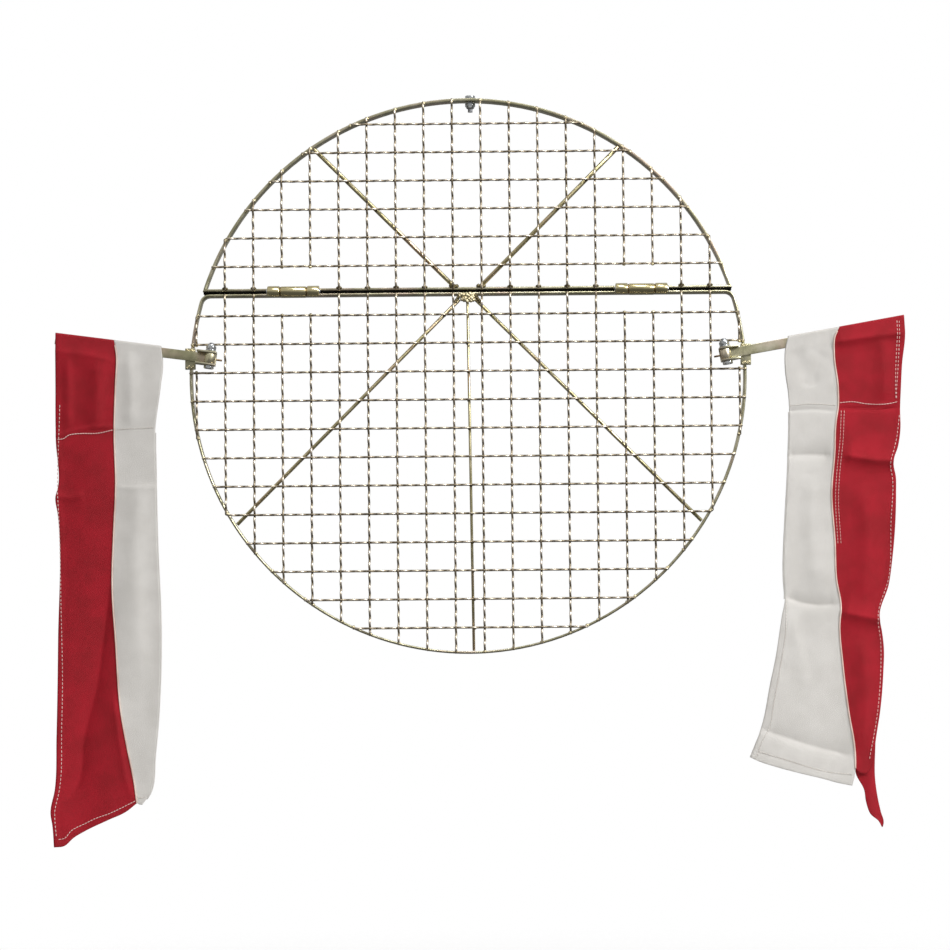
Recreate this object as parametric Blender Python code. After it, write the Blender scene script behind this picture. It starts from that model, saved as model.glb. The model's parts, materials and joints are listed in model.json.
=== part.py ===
"""Folding manhole guard grate with two warning flags.

A round frame of flat steel bar carries a panel of crimped wire mesh. A straight
chord splits it into a small upper flap and a larger main part, joined by two
weld-on barrel hinges in front of the chord bars. A flat arm turns on a clevis at
each side of the main part, and a cloth flag hangs from the arm by its sleeve.

The grate stands upright here: X to the right, Z up, and its front, the side that
faces up in use, towards -Y. The origin is the centre of the rim in its back
plane, which rests on the lid seat of the manhole.
"""
import math

import bmesh
import bpy
from mathutils import Matrix, Vector

MM = 0.001
GAP = 0.3 * MM                      # air kept between two pieces that touch

# Frame of flat bar on edge
RIM_RADIUS = 325 * MM               # outside of the rim
BAR = 3 * MM                        # thickness of the flat bar
DEPTH = 20 * MM                     # width of the flat bar, front to back
SPLIT_HEIGHT = 98.5 * MM            # middle of the slit between the two chord bars
SPLIT_GAP = 3 * MM                  # air between the two chord bars
MAIN_CORNER = 12 * MM               # outside radius where the main rim turns into its chord
RIM_SEGMENTS = 168                  # facets in a full turn of the rim

# Woven mesh: vertical wires behind, horizontal wires in front
WIRE = 3 * MM
COLUMN_PITCH = 33.3 * MM
ROW_PITCH = 33.2 * MM
ROW_BELOW_SPLIT = 27.7 * MM         # slit to the main part's top row
ROW_ABOVE_SPLIT = 30 * MM           # slit to the flap's lowest row
WIRE_INSET = 0.5 * MM               # how far a wire's end stays inside the rim's outer face
HINGE_STUB = 2 * MM                 # what a wire cut at a hinge keeps past its last crossing
CLEVIS_STUB = 0.5 * MM              # the same on a wire cut at a clevis
SPLICE_CELLS = 3                    # cells between two joints along a wire's plain side

# Round rods welded in behind the mesh
FLAP_ROD = 2.5 * MM                 # radius
MAIN_ROD = 2.1 * MM
CENTRE_ROD = 1.6 * MM
CENTRE_ROD_LEAN = 4 * MM            # the centre rod's foot stands this far to the right
GUSSET_WIDTH = 20 * MM
GUSSET_HEIGHT = 8 * MM
GUSSET_THICKNESS = 4 * MM

# Barrel hinges
HINGE_X = 203 * MM
BARREL_RADIUS = 6.1 * MM
BARREL_STANDOFF = 0.9 * MM          # barrel to the bars' front edges
FOLD_CLEARANCE = 0.7 * MM           # mesh to the plane where the folded panels would meet
BARREL_NOSE = 7.8 * MM              # reach of the drop-shaped nose that is welded on
BARREL_NOSE_ANGLE = 65              # degrees above or below the way back to the bar
OUTER_KNUCKLE = 14.5 * MM
MIDDLE_KNUCKLE = 29 * MM
HINGE_WASHER = 0.8 * MM
WASHER_RADIUS = 5.7 * MM
PIN_RADIUS = 3.2 * MM
PIN_PROUD = 1 * MM

# Arms: a flat bar with a rolled eye, and the clevis that it turns in
PIVOT_INSET = 25 * MM               # pivot axis inside the rim's outer face
PIVOT_CELL = 1.5                    # rows from the main part's top row down to the pivot
PIVOT_CLEARANCE = 0.55 * MM         # pivot nut to the mesh behind it
ARM_SLOPE = {"left": 7.6, "right": 9.9}      # degrees above level, outwards
ARM_HEIGHT = 11.2 * MM
ARM_THICKNESS = 3 * MM
EYE_RADIUS = 6.2 * MM
CLEVIS_SHEET = 2.3 * MM
CLEVIS_TAIL = 6.6 * MM              # clevis past the axis, towards the middle
CLEVIS_REACH = 16.2 * MM            # clevis past the axis, towards the rim
ARM_PLAY = 0.4 * MM                 # between the arm and each ear
FOOT_WIDTH = 12 * MM
FOOT_CLEARANCE = 2.3 * MM           # foot block to the ends of the cut wires
LUG_PIN_RADIUS = 1.1 * MM
LUG_PIN_OUT = 13 * MM               # lug pin past the pivot axis, towards the middle
LUG_PIN_IN = 6 * MM                 # and towards the rim

# Zinc-plated M6 fasteners
THREAD = 3 * MM                     # radius
HOLE_PLAY = 0.4 * MM
HEX_FLATS = 10 * MM
HEAD = 4 * MM
NUT = 6.4 * MM
NUT_COLLAR = 1.6 * MM
COLLAR_STEP = 0.4 * MM              # the nut's round collar inside its flats
COLLAR_RISE = 0.3 * MM
COLLAR_DOME = 0.8 * MM              # how far the collar closes in at its top
THREAD_WASHER = 1.2 * MM
THREAD_WASHER_RADIUS = 6 * MM
PIVOT_BOLT_PROUD = 1.6 * MM
HANGING_X = 5 * MM
HANGING_BOLT_PROUD = 3.8 * MM

# Flags
FLAG_START = {"left": 31 * MM, "right": 46 * MM}      # rim to the open end of the sleeve
FLAG_WIDTH = {"left": 127 * MM, "right": 138 * MM}    # along the arm, seen from the front
FLAG_WALL = 2 * MM
SLEEVE_PLAY = 0.6 * MM
SLEEVE_HALF = 6.5 * MM              # half of the sleeve's thickness around the arm
CLOTH_HALF = 3 * MM                 # half of the hanging cloth's space
SLEEVE_DROP = 108 * MM              # arm to the stitches that close the sleeve
# Below the sleeve, from the top down, in mm from the rim's side and the pivot's height:
# inner edge outwards, inner edge down, outer edge outwards, outer edge down
FLAG_FALL = {
    "left": [(35, 271, 156, 271), (36, 421, 159, 441), (47, 506, 159, 565)],
    "right": [(41, 261, 159, 261), (21, 306, 152, 321), (2, 474, 151, 551)],
}

FRONT = -DEPTH
MESH_BACK = FRONT - GAP
MESH_MIDDLE = MESH_BACK - WIRE
MESH_FRONT = MESH_MIDDLE - WIRE
MAIN_CHORD = SPLIT_HEIGHT - SPLIT_GAP / 2
FLAP_CHORD = SPLIT_HEIGHT + SPLIT_GAP / 2
MAIN_TOP_ROW = SPLIT_HEIGHT - ROW_BELOW_SPLIT
FLAP_LOW_ROW = SPLIT_HEIGHT + ROW_ABOVE_SPLIT
HINGE_FORWARD = max(FRONT - MESH_FRONT + FOLD_CLEARANCE, BARREL_RADIUS + BARREL_STANDOFF)
HINGE_AXIS = Vector((0, FRONT - HINGE_FORWARD, SPLIT_HEIGHT))
HEX_CORNER = HEX_FLATS / 2 / math.cos(math.pi / 6)
PIVOT_X = RIM_RADIUS - PIVOT_INSET
PIVOT_Z = MAIN_TOP_ROW - PIVOT_CELL * ROW_PITCH
PIVOT_FORWARD = FRONT - MESH_FRONT + PIVOT_CLEARANCE + max(HEX_CORNER, EYE_RADIUS - PIVOT_CLEARANCE)
SIDES = {"left": -1, "right": 1}

FINISH = {                          # colour, roughness, metallic
    "chromate": ((0.36, 0.35, 0.22, 1), 0.38, 0.85),
    "zinc": ((0.62, 0.66, 0.70, 1), 0.28, 0.95),
    "gold_chromate": ((0.55, 0.48, 0.20, 1), 0.30, 0.9),
    "brass": ((0.68, 0.55, 0.22, 1), 0.30, 0.95),
    "flag_red": ((0.42, 0.02, 0.04, 1), 0.85, 0.0),
}


def clear_scene():
    for obj in list(bpy.data.objects):
        bpy.data.objects.remove(obj, do_unlink=True)


def make_material(name, finish):
    """A plain Principled material of its own for one piece."""
    colour, roughness, metallic = FINISH[finish]
    material = bpy.data.materials.new(name)
    material.use_nodes = True
    shader = material.node_tree.nodes["Principled BSDF"]
    shader.inputs["Base Color"].default_value = colour
    shader.inputs["Roughness"].default_value = roughness
    shader.inputs["Metallic"].default_value = metallic
    material.diffuse_color = colour
    return material


def make_object(name, bm, finish=None, parent=None, smooth=False):
    """Turn a bmesh in world axes into an object whose origin is its parent's."""
    bmesh.ops.recalc_face_normals(bm, faces=bm.faces)
    origin = parent.location if parent else Vector()
    bmesh.ops.translate(bm, verts=bm.verts, vec=-origin)
    mesh = bpy.data.meshes.new(name)
    bm.to_mesh(mesh)
    bm.free()
    if smooth:
        mesh.shade_smooth()
        mesh.set_sharp_from_angle(angle=math.radians(35))
    obj = bpy.data.objects.new(name, mesh)
    bpy.context.collection.objects.link(obj)
    if parent:
        obj.parent = parent
    if finish:
        mesh.materials.append(make_material(name, finish))
    return obj


def make_pivot(name, location):
    """An empty on a joint's axis, which the moving pieces hang on."""
    empty = bpy.data.objects.new(name, None)
    empty.location = location
    empty.empty_display_size = 20 * MM
    bpy.context.collection.objects.link(empty)
    return empty


def loft(loops, closed=False):
    """A closed body through loops of points: capped, or joined round as a ring."""
    bm = bmesh.new()
    rings = [[bm.verts.new(point) for point in loop] for loop in loops]
    pairs = list(zip(rings, rings[1:]))
    if closed:
        pairs.append((rings[-1], rings[0]))
    else:
        bm.faces.new(rings[0])
        bm.faces.new(rings[-1])
    for low, high in pairs:
        for i in range(len(low)):
            j = (i + 1) % len(low)
            bm.faces.new((low[i], low[j], high[j], high[i]))
    return bm


def circle(frame, radius, height, sides):
    """Points of a circle about the third axis of a frame."""
    angles = [math.tau * i / sides for i in range(sides)]
    return [frame @ Vector((radius * math.cos(a), radius * math.sin(a), height)) for a in angles]


def hexagon(frame, height):
    """Twelve points round a hexagon: its corners and the middles of its flats."""
    radii = [HEX_CORNER, HEX_FLATS / 2] * 6
    return [frame @ Vector((r * math.cos(i * math.pi / 6), r * math.sin(i * math.pi / 6), height))
            for i, r in enumerate(radii)]


def axis_frame(origin, direction):
    """A frame whose third axis runs along a direction from an origin."""
    turn = Vector(direction).to_track_quat("Z", "Y").to_matrix().to_4x4()
    return Matrix.Translation(origin) @ turn


def rod(start, end, radius, sides=12):
    frame = axis_frame(start, end - start)
    length = (end - start).length
    return loft([circle(frame, radius, 0, sides), circle(frame, radius, length, sides)])


def washer(frame, inner, outer, low, high, sides=18):
    return loft([circle(frame, inner, low, sides), circle(frame, outer, low, sides),
                 circle(frame, outer, high, sides), circle(frame, inner, high, sides)], closed=True)


def bolt(frame, under_head, tip):
    """A hexagon bolt along the frame's axis, its head below under_head."""
    return loft([hexagon(frame, under_head - HEAD), hexagon(frame, under_head),
                 circle(frame, THREAD, under_head, 12), circle(frame, THREAD, tip, 12)])


def lock_nut(frame, low):
    """A hexagon nut with a narrower round collar on top."""
    bore = THREAD + GAP
    collar = HEX_FLATS / 2 - COLLAR_STEP
    shoulder = low + NUT - NUT_COLLAR
    return loft([circle(frame, bore, low, 12), hexagon(frame, low),
                 hexagon(frame, shoulder), circle(frame, collar, shoulder + COLLAR_RISE, 12),
                 circle(frame, collar - COLLAR_DOME, low + NUT, 12), circle(frame, bore, low + NUT, 12)],
                closed=True)


def drill(target, start, end, radius, name):
    """Cut a round hole with a hidden cutter and an exact Boolean."""
    cutter = make_object(name, rod(start, end, radius, 16), parent=target.parent)
    subtract(target, cutter)


def subtract(target, cutter):
    cutter.hide_render = True
    cutter.display_type = "WIRE"
    modifier = target.modifiers.new("cut", "BOOLEAN")
    modifier.operation = "DIFFERENCE"
    modifier.solver = "EXACT"
    modifier.object = cutter


# ---------------------------------------------------------------- frames

def chord_half(radius, offset):
    return math.sqrt(max(radius ** 2 - offset ** 2, 0))


def chord_outline(radius, chord, corner, segments):
    """Points of a circle cut off above a level chord, its two corners rounded."""
    corner_z = chord - corner
    corner_x = math.sqrt((radius - corner) ** 2 - corner_z ** 2)
    meet = math.atan2(corner_z, corner_x)
    turns = 5
    points = []
    for i in range(turns):
        angle = math.pi / 2 + (meet - math.pi / 2) * i / turns
        points.append((corner_x + corner * math.cos(angle), corner_z + corner * math.sin(angle)))
    for i in range(segments + 1):
        angle = meet - (math.pi + 2 * meet) * i / segments
        points.append((radius * math.cos(angle), radius * math.sin(angle)))
    for i in range(1, turns + 1):
        angle = math.pi - meet + (meet - math.pi / 2) * i / turns
        points.append((-corner_x + corner * math.cos(angle), corner_z + corner * math.sin(angle)))
    return points


def make_main_frame():
    """A flat bar on edge, bent round to the main part's rim and chord in one piece."""
    share = (math.pi + 2 * math.asin(MAIN_CHORD / RIM_RADIUS)) / math.tau
    segments = round(RIM_SEGMENTS * share)
    outer = chord_outline(RIM_RADIUS, MAIN_CHORD, MAIN_CORNER, segments)
    inner = chord_outline(RIM_RADIUS - BAR, MAIN_CHORD - BAR, MAIN_CORNER - BAR, segments)
    loops = [[Vector((x, y, z)) for x, z in outline]
             for outline, y in ((outer, 0), (outer, FRONT), (inner, FRONT), (inner, 0))]
    make_object("main_frame", loft(loops, closed=True), "chromate", smooth=True)


def make_flap_rim(parent):
    """The flap's bent bar, whose level ends stand on its chord bar."""
    end_z = FLAP_CHORD + BAR + GAP
    radii = (RIM_RADIUS, RIM_RADIUS - BAR)
    starts = [math.asin(end_z / radius) for radius in radii]
    segments = round(RIM_SEGMENTS * (math.pi - 2 * starts[0]) / math.tau)
    loops = []
    for i in range(segments + 1):
        angles = [start + (math.pi - 2 * start) * i / segments for start in starts]
        outer, inner = ((r * math.cos(a), r * math.sin(a)) for r, a in zip(radii, angles))
        loops.append([Vector((x, y, z)) for (x, z), y in
                      ((outer, 0), (outer, FRONT), (inner, FRONT), (inner, 0))])
    return make_object("flap_rim", loft(loops), "chromate", parent, smooth=True)


def make_flap_chord_bar(parent):
    """The flap's straight bar, its ends cut in line with the outside of the rim."""
    low = chord_half(RIM_RADIUS, FLAP_CHORD)
    high = chord_half(RIM_RADIUS, FLAP_CHORD + BAR)
    outline = [(-low, FLAP_CHORD), (low, FLAP_CHORD), (high, FLAP_CHORD + BAR), (-high, FLAP_CHORD + BAR)]
    loops = [[Vector((x, y, z)) for x, z in outline] for y in (0, FRONT)]
    make_object("flap_chord_bar", loft(loops), "chromate", parent)


# ---------------------------------------------------------------- woven mesh

def plan_wires(low, high, first_row, row_step):
    """Straight wires of a panel between two heights: (place, start, end) lists."""
    reach = RIM_RADIUS - WIRE_INSET
    half = WIRE / 2
    rows = []
    z = first_row
    while abs(z) < reach - ROW_PITCH / 2:
        rows.append([z, -chord_half(reach, z), chord_half(reach, z)])
        z += row_step
    rows.sort()
    columns = []
    x = COLUMN_PITCH / 2
    while x < reach - WIRE:
        top = min(high, chord_half(reach, x))
        bottom = max(low, -chord_half(reach, x))
        if top - bottom > ROW_PITCH:
            columns += [[side * x, bottom, top] for side in (-1, 1)]
        x += COLUMN_PITCH
    clear_hinges(columns, rows, half)
    clear_clevises(columns, half)
    trim_ends(columns, rows, half)
    trim_ends(rows, columns, half)
    return keep_crossing(columns, rows, half), keep_crossing(rows, columns, half)


def keep_crossing(wires, crossing_wires, half):
    """The wires that cross at least one other, since a loose wire isn't part of a mesh."""
    return [w for w in wires if any(c[1] + half < w[0] < c[2] - half and w[1] + half < c[0] < w[2] - half
                                    for c in crossing_wires)]


def clear_hinges(columns, rows, half):
    """Cut back the columns that would run into a hinge to the nearest row."""
    reach = OUTER_KNUCKLE + MIDDLE_KNUCKLE / 2 + WIRE
    for column in columns:
        if abs(abs(column[0]) - HINGE_X) > reach:
            continue
        if column[1] > SPLIT_HEIGHT:
            column[1] = rows[0][0] - half - HINGE_STUB
        else:
            column[2] = rows[-1][0] + half + HINGE_STUB


def clear_clevises(columns, half):
    """Split the outermost main columns where a clevis sits on the rim."""
    for column in list(columns):
        at_clevis = PIVOT_X < abs(column[0]) < PIVOT_X + CLEVIS_REACH + FOOT_WIDTH
        if not at_clevis or not column[1] < PIVOT_Z < column[2]:
            continue
        row_above = MAIN_TOP_ROW - ROW_PITCH * math.floor(PIVOT_CELL)
        columns.append([column[0], row_above - half - CLEVIS_STUB, column[2]])
        column[2] = row_above - ROW_PITCH + half + CLEVIS_STUB


def trim_ends(wires, crossing_wires, half):
    """Shorten a wire whose end stops on a wire that it should cross."""
    for wire in wires:
        for place, start, end in crossing_wires:
            if not start - half < wire[0] < end + half:
                continue
            if place - half - GAP < wire[2] < place + half + GAP:
                wire[2] = place - half - 2 * GAP
            if place - half - GAP < wire[1] < place + half + GAP:
                wire[1] = place + half + 2 * GAP


class Lattice:
    """Square wires in two touching layers, grown into one closed body."""

    def __init__(self):
        self.bm = bmesh.new()
        self.known = {}

    def vertex(self, x, y, z):
        key = (round(x * 1e6), round(y * 1e6), round(z * 1e6))
        if key not in self.known:
            self.known[key] = self.bm.verts.new((x, y, z))
        return self.known[key]

    def face(self, *points):
        self.bm.faces.new([self.vertex(*point) for point in points])

    def add_wire(self, place, start, end, crossings, outside, point):
        """One wire; point(along, across, y) gives x, y, z, and outside is its free face."""
        half = WIRE / 2
        cuts = sorted(c for c in crossings if start + half < c < end - half)
        inner_stops = [start] + [c + s * half for c in cuts for s in (-1, 1)] + [end]
        splices = [(a + b) / 2 for a, b in zip(cuts, cuts[1:])][SPLICE_CELLS - 1::SPLICE_CELLS]
        outer_stops = [start] + splices + [end]
        low, high = place - half, place + half
        for a, b in zip(inner_stops[::2], inner_stops[1::2]):
            self.face(point(a, low, MESH_MIDDLE), point(b, low, MESH_MIDDLE),
                      point(b, high, MESH_MIDDLE), point(a, high, MESH_MIDDLE))
        for a, b in zip(outer_stops, outer_stops[1:]):
            self.face(point(a, low, outside), point(b, low, outside),
                      point(b, high, outside), point(a, high, outside))
        for across in (low, high):
            self.zip_side(inner_stops, outer_stops, across, outside, point)
        for stop in (start, end):
            self.face(point(stop, low, MESH_MIDDLE), point(stop, high, MESH_MIDDLE),
                      point(stop, high, outside), point(stop, low, outside))

    def zip_side(self, inner_stops, outer_stops, across, outside, point):
        """Triangles between the finely and the coarsely divided edge of a side."""
        i = j = 0
        while i < len(inner_stops) - 1 or j < len(outer_stops) - 1:
            inner = point(inner_stops[i], across, MESH_MIDDLE)
            outer = point(outer_stops[j], across, outside)
            last_inner = i == len(inner_stops) - 1
            last_outer = j == len(outer_stops) - 1
            if last_outer or (not last_inner and inner_stops[i + 1] <= outer_stops[j + 1]):
                i += 1
                self.face(inner, point(inner_stops[i], across, MESH_MIDDLE), outer)
            else:
                j += 1
                self.face(inner, point(outer_stops[j], across, outside), outer)


def make_mesh_panel(name, columns, rows, parent=None):
    """Weave the planned wires: columns behind the middle plane, rows in front of it."""
    half = WIRE / 2
    lattice = Lattice()
    for x, low, high in columns:
        crossings = [z for z, left, right in rows if left + half < x < right - half]
        lattice.add_wire(x, low, high, crossings, MESH_BACK, lambda along, across, y: (across, y, along))
    for z, left, right in rows:
        crossings = [x for x, low, high in columns if low + half < z < high - half]
        lattice.add_wire(z, left, right, crossings, MESH_FRONT, lambda along, across, y: (along, y, across))
    return make_object(name, lattice.bm, "chromate", parent)


# ---------------------------------------------------------------- braces

def reach_rim(start, direction, radius):
    """Distance from start along direction to the rim's inner face, less the rod's end."""
    stop = RIM_RADIUS - BAR - GAP - radius / 2
    along = start.x * direction.x + start.z * direction.z
    return -along + math.sqrt(along ** 2 + stop ** 2 - start.x ** 2 - start.z ** 2)


def make_rod_to_rim(name, start, angle, radius, parent=None):
    """A rod from start to the rim, at an angle in degrees from +X."""
    direction = Vector((math.cos(math.radians(angle)), 0, math.sin(math.radians(angle))))
    end = start + direction * reach_rim(start, direction, radius)
    make_object(name, rod(start, end, radius), "chromate", parent, smooth=True)


def make_flap_braces(parent):
    y = FRONT + GAP + FLAP_ROD
    z = FLAP_CHORD + BAR + GAP + FLAP_ROD * math.sin(math.pi / 4)
    for side, sign in SIDES.items():
        start = Vector((sign * COLUMN_PITCH / 2, y, z))
        make_rod_to_rim(f"flap_brace_{side}", start, 90 - sign * 45, FLAP_ROD, parent)


def make_main_braces():
    """Three rods that fan out from a gusset under the main chord bar."""
    top = MAIN_CHORD - BAR - GAP
    low = top - GUSSET_HEIGHT
    y = FRONT + GAP
    outline = [(-GUSSET_WIDTH / 2, top), (GUSSET_WIDTH / 2, top),
               (GUSSET_WIDTH / 4, low), (-GUSSET_WIDTH / 4, low)]
    loops = [[Vector((x, depth, z)) for x, z in outline] for depth in (y, y + GUSSET_THICKNESS)]
    make_object("main_brace_gusset", loft(loops), "chromate")
    for side, sign in SIDES.items():
        edge_x = sign * GUSSET_WIDTH * 3 / 8
        edge_z = (top + low) / 2
        outward = Vector((sign * GUSSET_HEIGHT, 0, -GUSSET_WIDTH / 4)).normalized()
        step = GAP + MAIN_ROD
        start = Vector((edge_x, y + MAIN_ROD, edge_z)) + outward * step
        make_rod_to_rim(f"main_brace_{side}", start, -90 + sign * 45, MAIN_ROD)
    start = Vector((0, y + CENTRE_ROD, low - GAP))
    end = Vector((CENTRE_ROD_LEAN, y + CENTRE_ROD, -(RIM_RADIUS - BAR - 2 * GAP)))
    make_object("main_brace_centre", rod(start, end, CENTRE_ROD), "chromate", smooth=True)


# ---------------------------------------------------------------- hinges

def drop_loop(x, nose_angle, sides=24):
    """A round barrel section with a pointed nose, in the plane across the axis."""
    tangent = math.acos(BARREL_RADIUS / BARREL_NOSE)
    points = []
    for i in range(sides):
        offset = math.tau * i / sides
        away = min(offset, math.tau - offset)
        radius = BARREL_RADIUS / math.cos(max(tangent - away, 0))
        angle = math.radians(nose_angle) + offset
        points.append(HINGE_AXIS + Vector((x, radius * math.cos(angle), radius * math.sin(angle))))
    return points


def bore_loop(x, radius, nose_angle, sides=24):
    angles = [math.radians(nose_angle) + math.tau * i / sides for i in range(sides)]
    return [HINGE_AXIS + Vector((x, radius * math.cos(a), radius * math.sin(a))) for a in angles]


def make_knuckle(name, low, high, nose_angle, parent=None):
    bore = PIN_RADIUS + HOLE_PLAY
    loops = [bore_loop(low, bore, nose_angle), drop_loop(low, nose_angle),
             drop_loop(high, nose_angle), bore_loop(high, bore, nose_angle)]
    make_object(name, loft(loops, closed=True), "gold_chromate", parent, smooth=True)


def make_hinge(side, flap_pivot):
    """Middle knuckle and pin on the main part, two outer knuckles on the flap."""
    centre = SIDES[side] * HINGE_X
    middle = MIDDLE_KNUCKLE / 2
    washer_low = middle + GAP
    outer_low = washer_low + HINGE_WASHER + GAP
    outer_high = outer_low + OUTER_KNUCKLE
    make_knuckle(f"{side}_hinge_middle_knuckle", centre - middle, centre + middle, -BARREL_NOSE_ANGLE)
    along = Vector((1, 0, 0))
    frame = axis_frame(HINGE_AXIS + along * centre, along)
    for end, sign in (("a", -1), ("b", 1)):
        low, high = sorted((sign * outer_low, sign * outer_high))
        make_knuckle(f"{side}_hinge_outer_knuckle_{end}", centre + low, centre + high,
                     BARREL_NOSE_ANGLE, flap_pivot)
        low, high = sorted((sign * washer_low, sign * (washer_low + HINGE_WASHER)))
        ring = washer(frame, PIN_RADIUS + GAP, WASHER_RADIUS, low, high)
        make_object(f"{side}_hinge_washer_{end}", ring, "brass", smooth=True)
    reach = outer_high + PIN_PROUD
    pin = rod(HINGE_AXIS + along * (centre - reach), HINGE_AXIS + along * (centre + reach), PIN_RADIUS, 16)
    make_object(f"{side}_hinge_pin", pin, "zinc", smooth=True)


# ---------------------------------------------------------------- hanging bolt

def make_hanging_bolt(flap_rim, parent):
    """A short bolt through the top of the rim, its lock nut inside."""
    angle = math.asin(HANGING_X / RIM_RADIUS)
    inward = Vector((-math.sin(angle), 0, -math.cos(angle)))
    middle = Vector((0, FRONT / 2, 0))
    frame = axis_frame(middle - inward * RIM_RADIUS, inward)
    drill(flap_rim, frame @ Vector((0, 0, -BAR)), frame @ Vector((0, 0, 2 * BAR)),
          THREAD + HOLE_PLAY, "hanging_hole_cutter")
    washer_low = BAR + GAP
    nut_low = washer_low + THREAD_WASHER + GAP
    make_object("hanging_bolt", bolt(frame, -GAP, nut_low + NUT + HANGING_BOLT_PROUD), "zinc", parent)
    ring = washer(frame, THREAD + GAP, THREAD_WASHER_RADIUS, washer_low, washer_low + THREAD_WASHER)
    make_object("hanging_washer", ring, "zinc", parent, smooth=True)
    make_object("hanging_nut", lock_nut(frame, nut_low), "zinc", parent)


# ---------------------------------------------------------------- arms and clevises

def arm_frame(side):
    """Maps (outwards along the arm, forwards from the bars, up across the arm) to the model."""
    slope = math.radians(ARM_SLOPE[side])
    sign = SIDES[side]
    matrix = Matrix.Identity(4)
    matrix.col[0] = (sign * math.cos(slope), 0, math.sin(slope), 0)
    matrix.col[1] = (0, -1, 0, 0)
    matrix.col[2] = (-sign * math.sin(slope), 0, math.cos(slope), 0)
    matrix.col[3] = (sign * PIVOT_X, FRONT, PIVOT_Z, 1)
    return matrix


def prism(frame, outline, low, high):
    """A (along, forwards) outline raised along the frame's third axis."""
    loops = [[frame @ Vector((a, b, height)) for a, b in outline] for height in (low, high)]
    return loft(loops)


def channel(frame, outline, start, end):
    """A (forwards, up) outline run along the frame's first axis."""
    loops = [[frame @ Vector((place, a, b)) for a, b in outline] for place in (start, end)]
    return loft(loops)


def pivot_frame(side):
    """The arm's frame moved to the pivot axis, with that axis as its third."""
    return arm_frame(side) @ Matrix.Translation((0, PIVOT_FORWARD, 0))


def make_foot_block(side, ear):
    """The block across the rim's front edge that the arm rests against."""
    sign = SIDES[side]
    slope = math.radians(ARM_SLOPE[side])
    start = PIVOT_X + CLEVIS_REACH * math.cos(slope) + ear * math.sin(slope) + GAP
    half = ROW_PITCH / 2 - WIRE / 2 - CLEVIS_STUB - FOOT_CLEARANCE
    low, high = PIVOT_Z - half, PIVOT_Z + half
    front = FRONT - (PIVOT_FORWARD - EYE_RADIUS - GAP)
    corners = [(start, low), (start + FOOT_WIDTH, low), (start + FOOT_WIDTH, high), (start, high)]
    loops = [[Vector((sign * x, y, z)) for x, z in corners] for y in (FRONT - GAP, front)]
    make_object(f"{side}_foot_block", loft(loops), "chromate")


def make_clevis(side):
    """A foot across the rim, a clevis welded to it, and the pin behind the clevis."""
    frame = arm_frame(side)
    inside = ARM_HEIGHT / 2 + ARM_PLAY
    outside = inside + CLEVIS_SHEET
    make_foot_block(side, outside)
    back = GAP + CLEVIS_SHEET
    front = PIVOT_FORWARD + EYE_RADIUS + GAP
    section = [(GAP, -outside), (front, -outside), (front, -inside), (back, -inside),
               (back, inside), (front, inside), (front, outside), (GAP, outside)]
    clevis = make_object(f"{side}_clevis", channel(frame, section, -CLEVIS_TAIL, CLEVIS_REACH), "chromate")
    pivot = pivot_frame(side)
    drill(clevis, pivot @ Vector((0, 0, -2 * outside)), pivot @ Vector((0, 0, 2 * outside)),
          THREAD + HOLE_PLAY, f"{side}_clevis_hole_cutter")
    depth = -LUG_PIN_RADIUS
    start, end = (frame @ Vector((x, depth, 0)) for x in (-LUG_PIN_OUT, LUG_PIN_IN))
    pin = rod(start, end, LUG_PIN_RADIUS)
    make_object(f"{side}_lug_pin", pin, "chromate", smooth=True)
    return outside


def make_pivot_fasteners(side, ear):
    """Bolt from below, washer and lock nut on top."""
    frame = pivot_frame(side)
    washer_low = ear + GAP
    nut_low = washer_low + THREAD_WASHER + GAP
    make_object(f"{side}_pivot_bolt", bolt(frame, -ear - GAP, nut_low + NUT + PIVOT_BOLT_PROUD), "zinc")
    ring = washer(frame, THREAD + GAP, THREAD_WASHER_RADIUS, washer_low, washer_low + THREAD_WASHER)
    make_object(f"{side}_pivot_washer", ring, "zinc", smooth=True)
    make_object(f"{side}_pivot_nut", lock_nut(frame, nut_low), "zinc")


def sleeve_ends(side):
    """Distances from the middle to the sleeve's open and closed ends."""
    inner = RIM_RADIUS + FLAG_START[side]
    return inner, inner + FLAG_WIDTH[side]


def arm_reach(side):
    """Pivot axis to the arm's tip, which stays inside the sleeve's closed end."""
    slope = math.radians(ARM_SLOPE[side])
    return (sleeve_ends(side)[1] - PIVOT_X) / math.cos(slope) - FLAG_WALL - SLEEVE_PLAY


def make_arm(side, parent):
    """A flat bar on edge whose end is rolled into an eye round the pivot bolt."""
    frame = pivot_frame(side)
    back = -EYE_RADIUS
    front = back + ARM_THICKNESS
    reach = arm_reach(side)
    meet = math.asin(front / EYE_RADIUS)
    turns = 16
    eye = [(EYE_RADIUS * math.cos(a), EYE_RADIUS * math.sin(a))
           for a in (meet + (math.pi * 1.5 - meet) * i / turns for i in range(turns + 1))]
    outline = eye + [(reach, back), (reach, front)]
    arm = make_object(f"{side}_arm", prism(frame, outline, -ARM_HEIGHT / 2, ARM_HEIGHT / 2),
                      "chromate", parent, smooth=True)
    drill(arm, frame @ Vector((0, 0, -ARM_HEIGHT)), frame @ Vector((0, 0, ARM_HEIGHT)),
          THREAD + HOLE_PLAY, f"{side}_arm_hole_cutter")


# ---------------------------------------------------------------- flags

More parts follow.
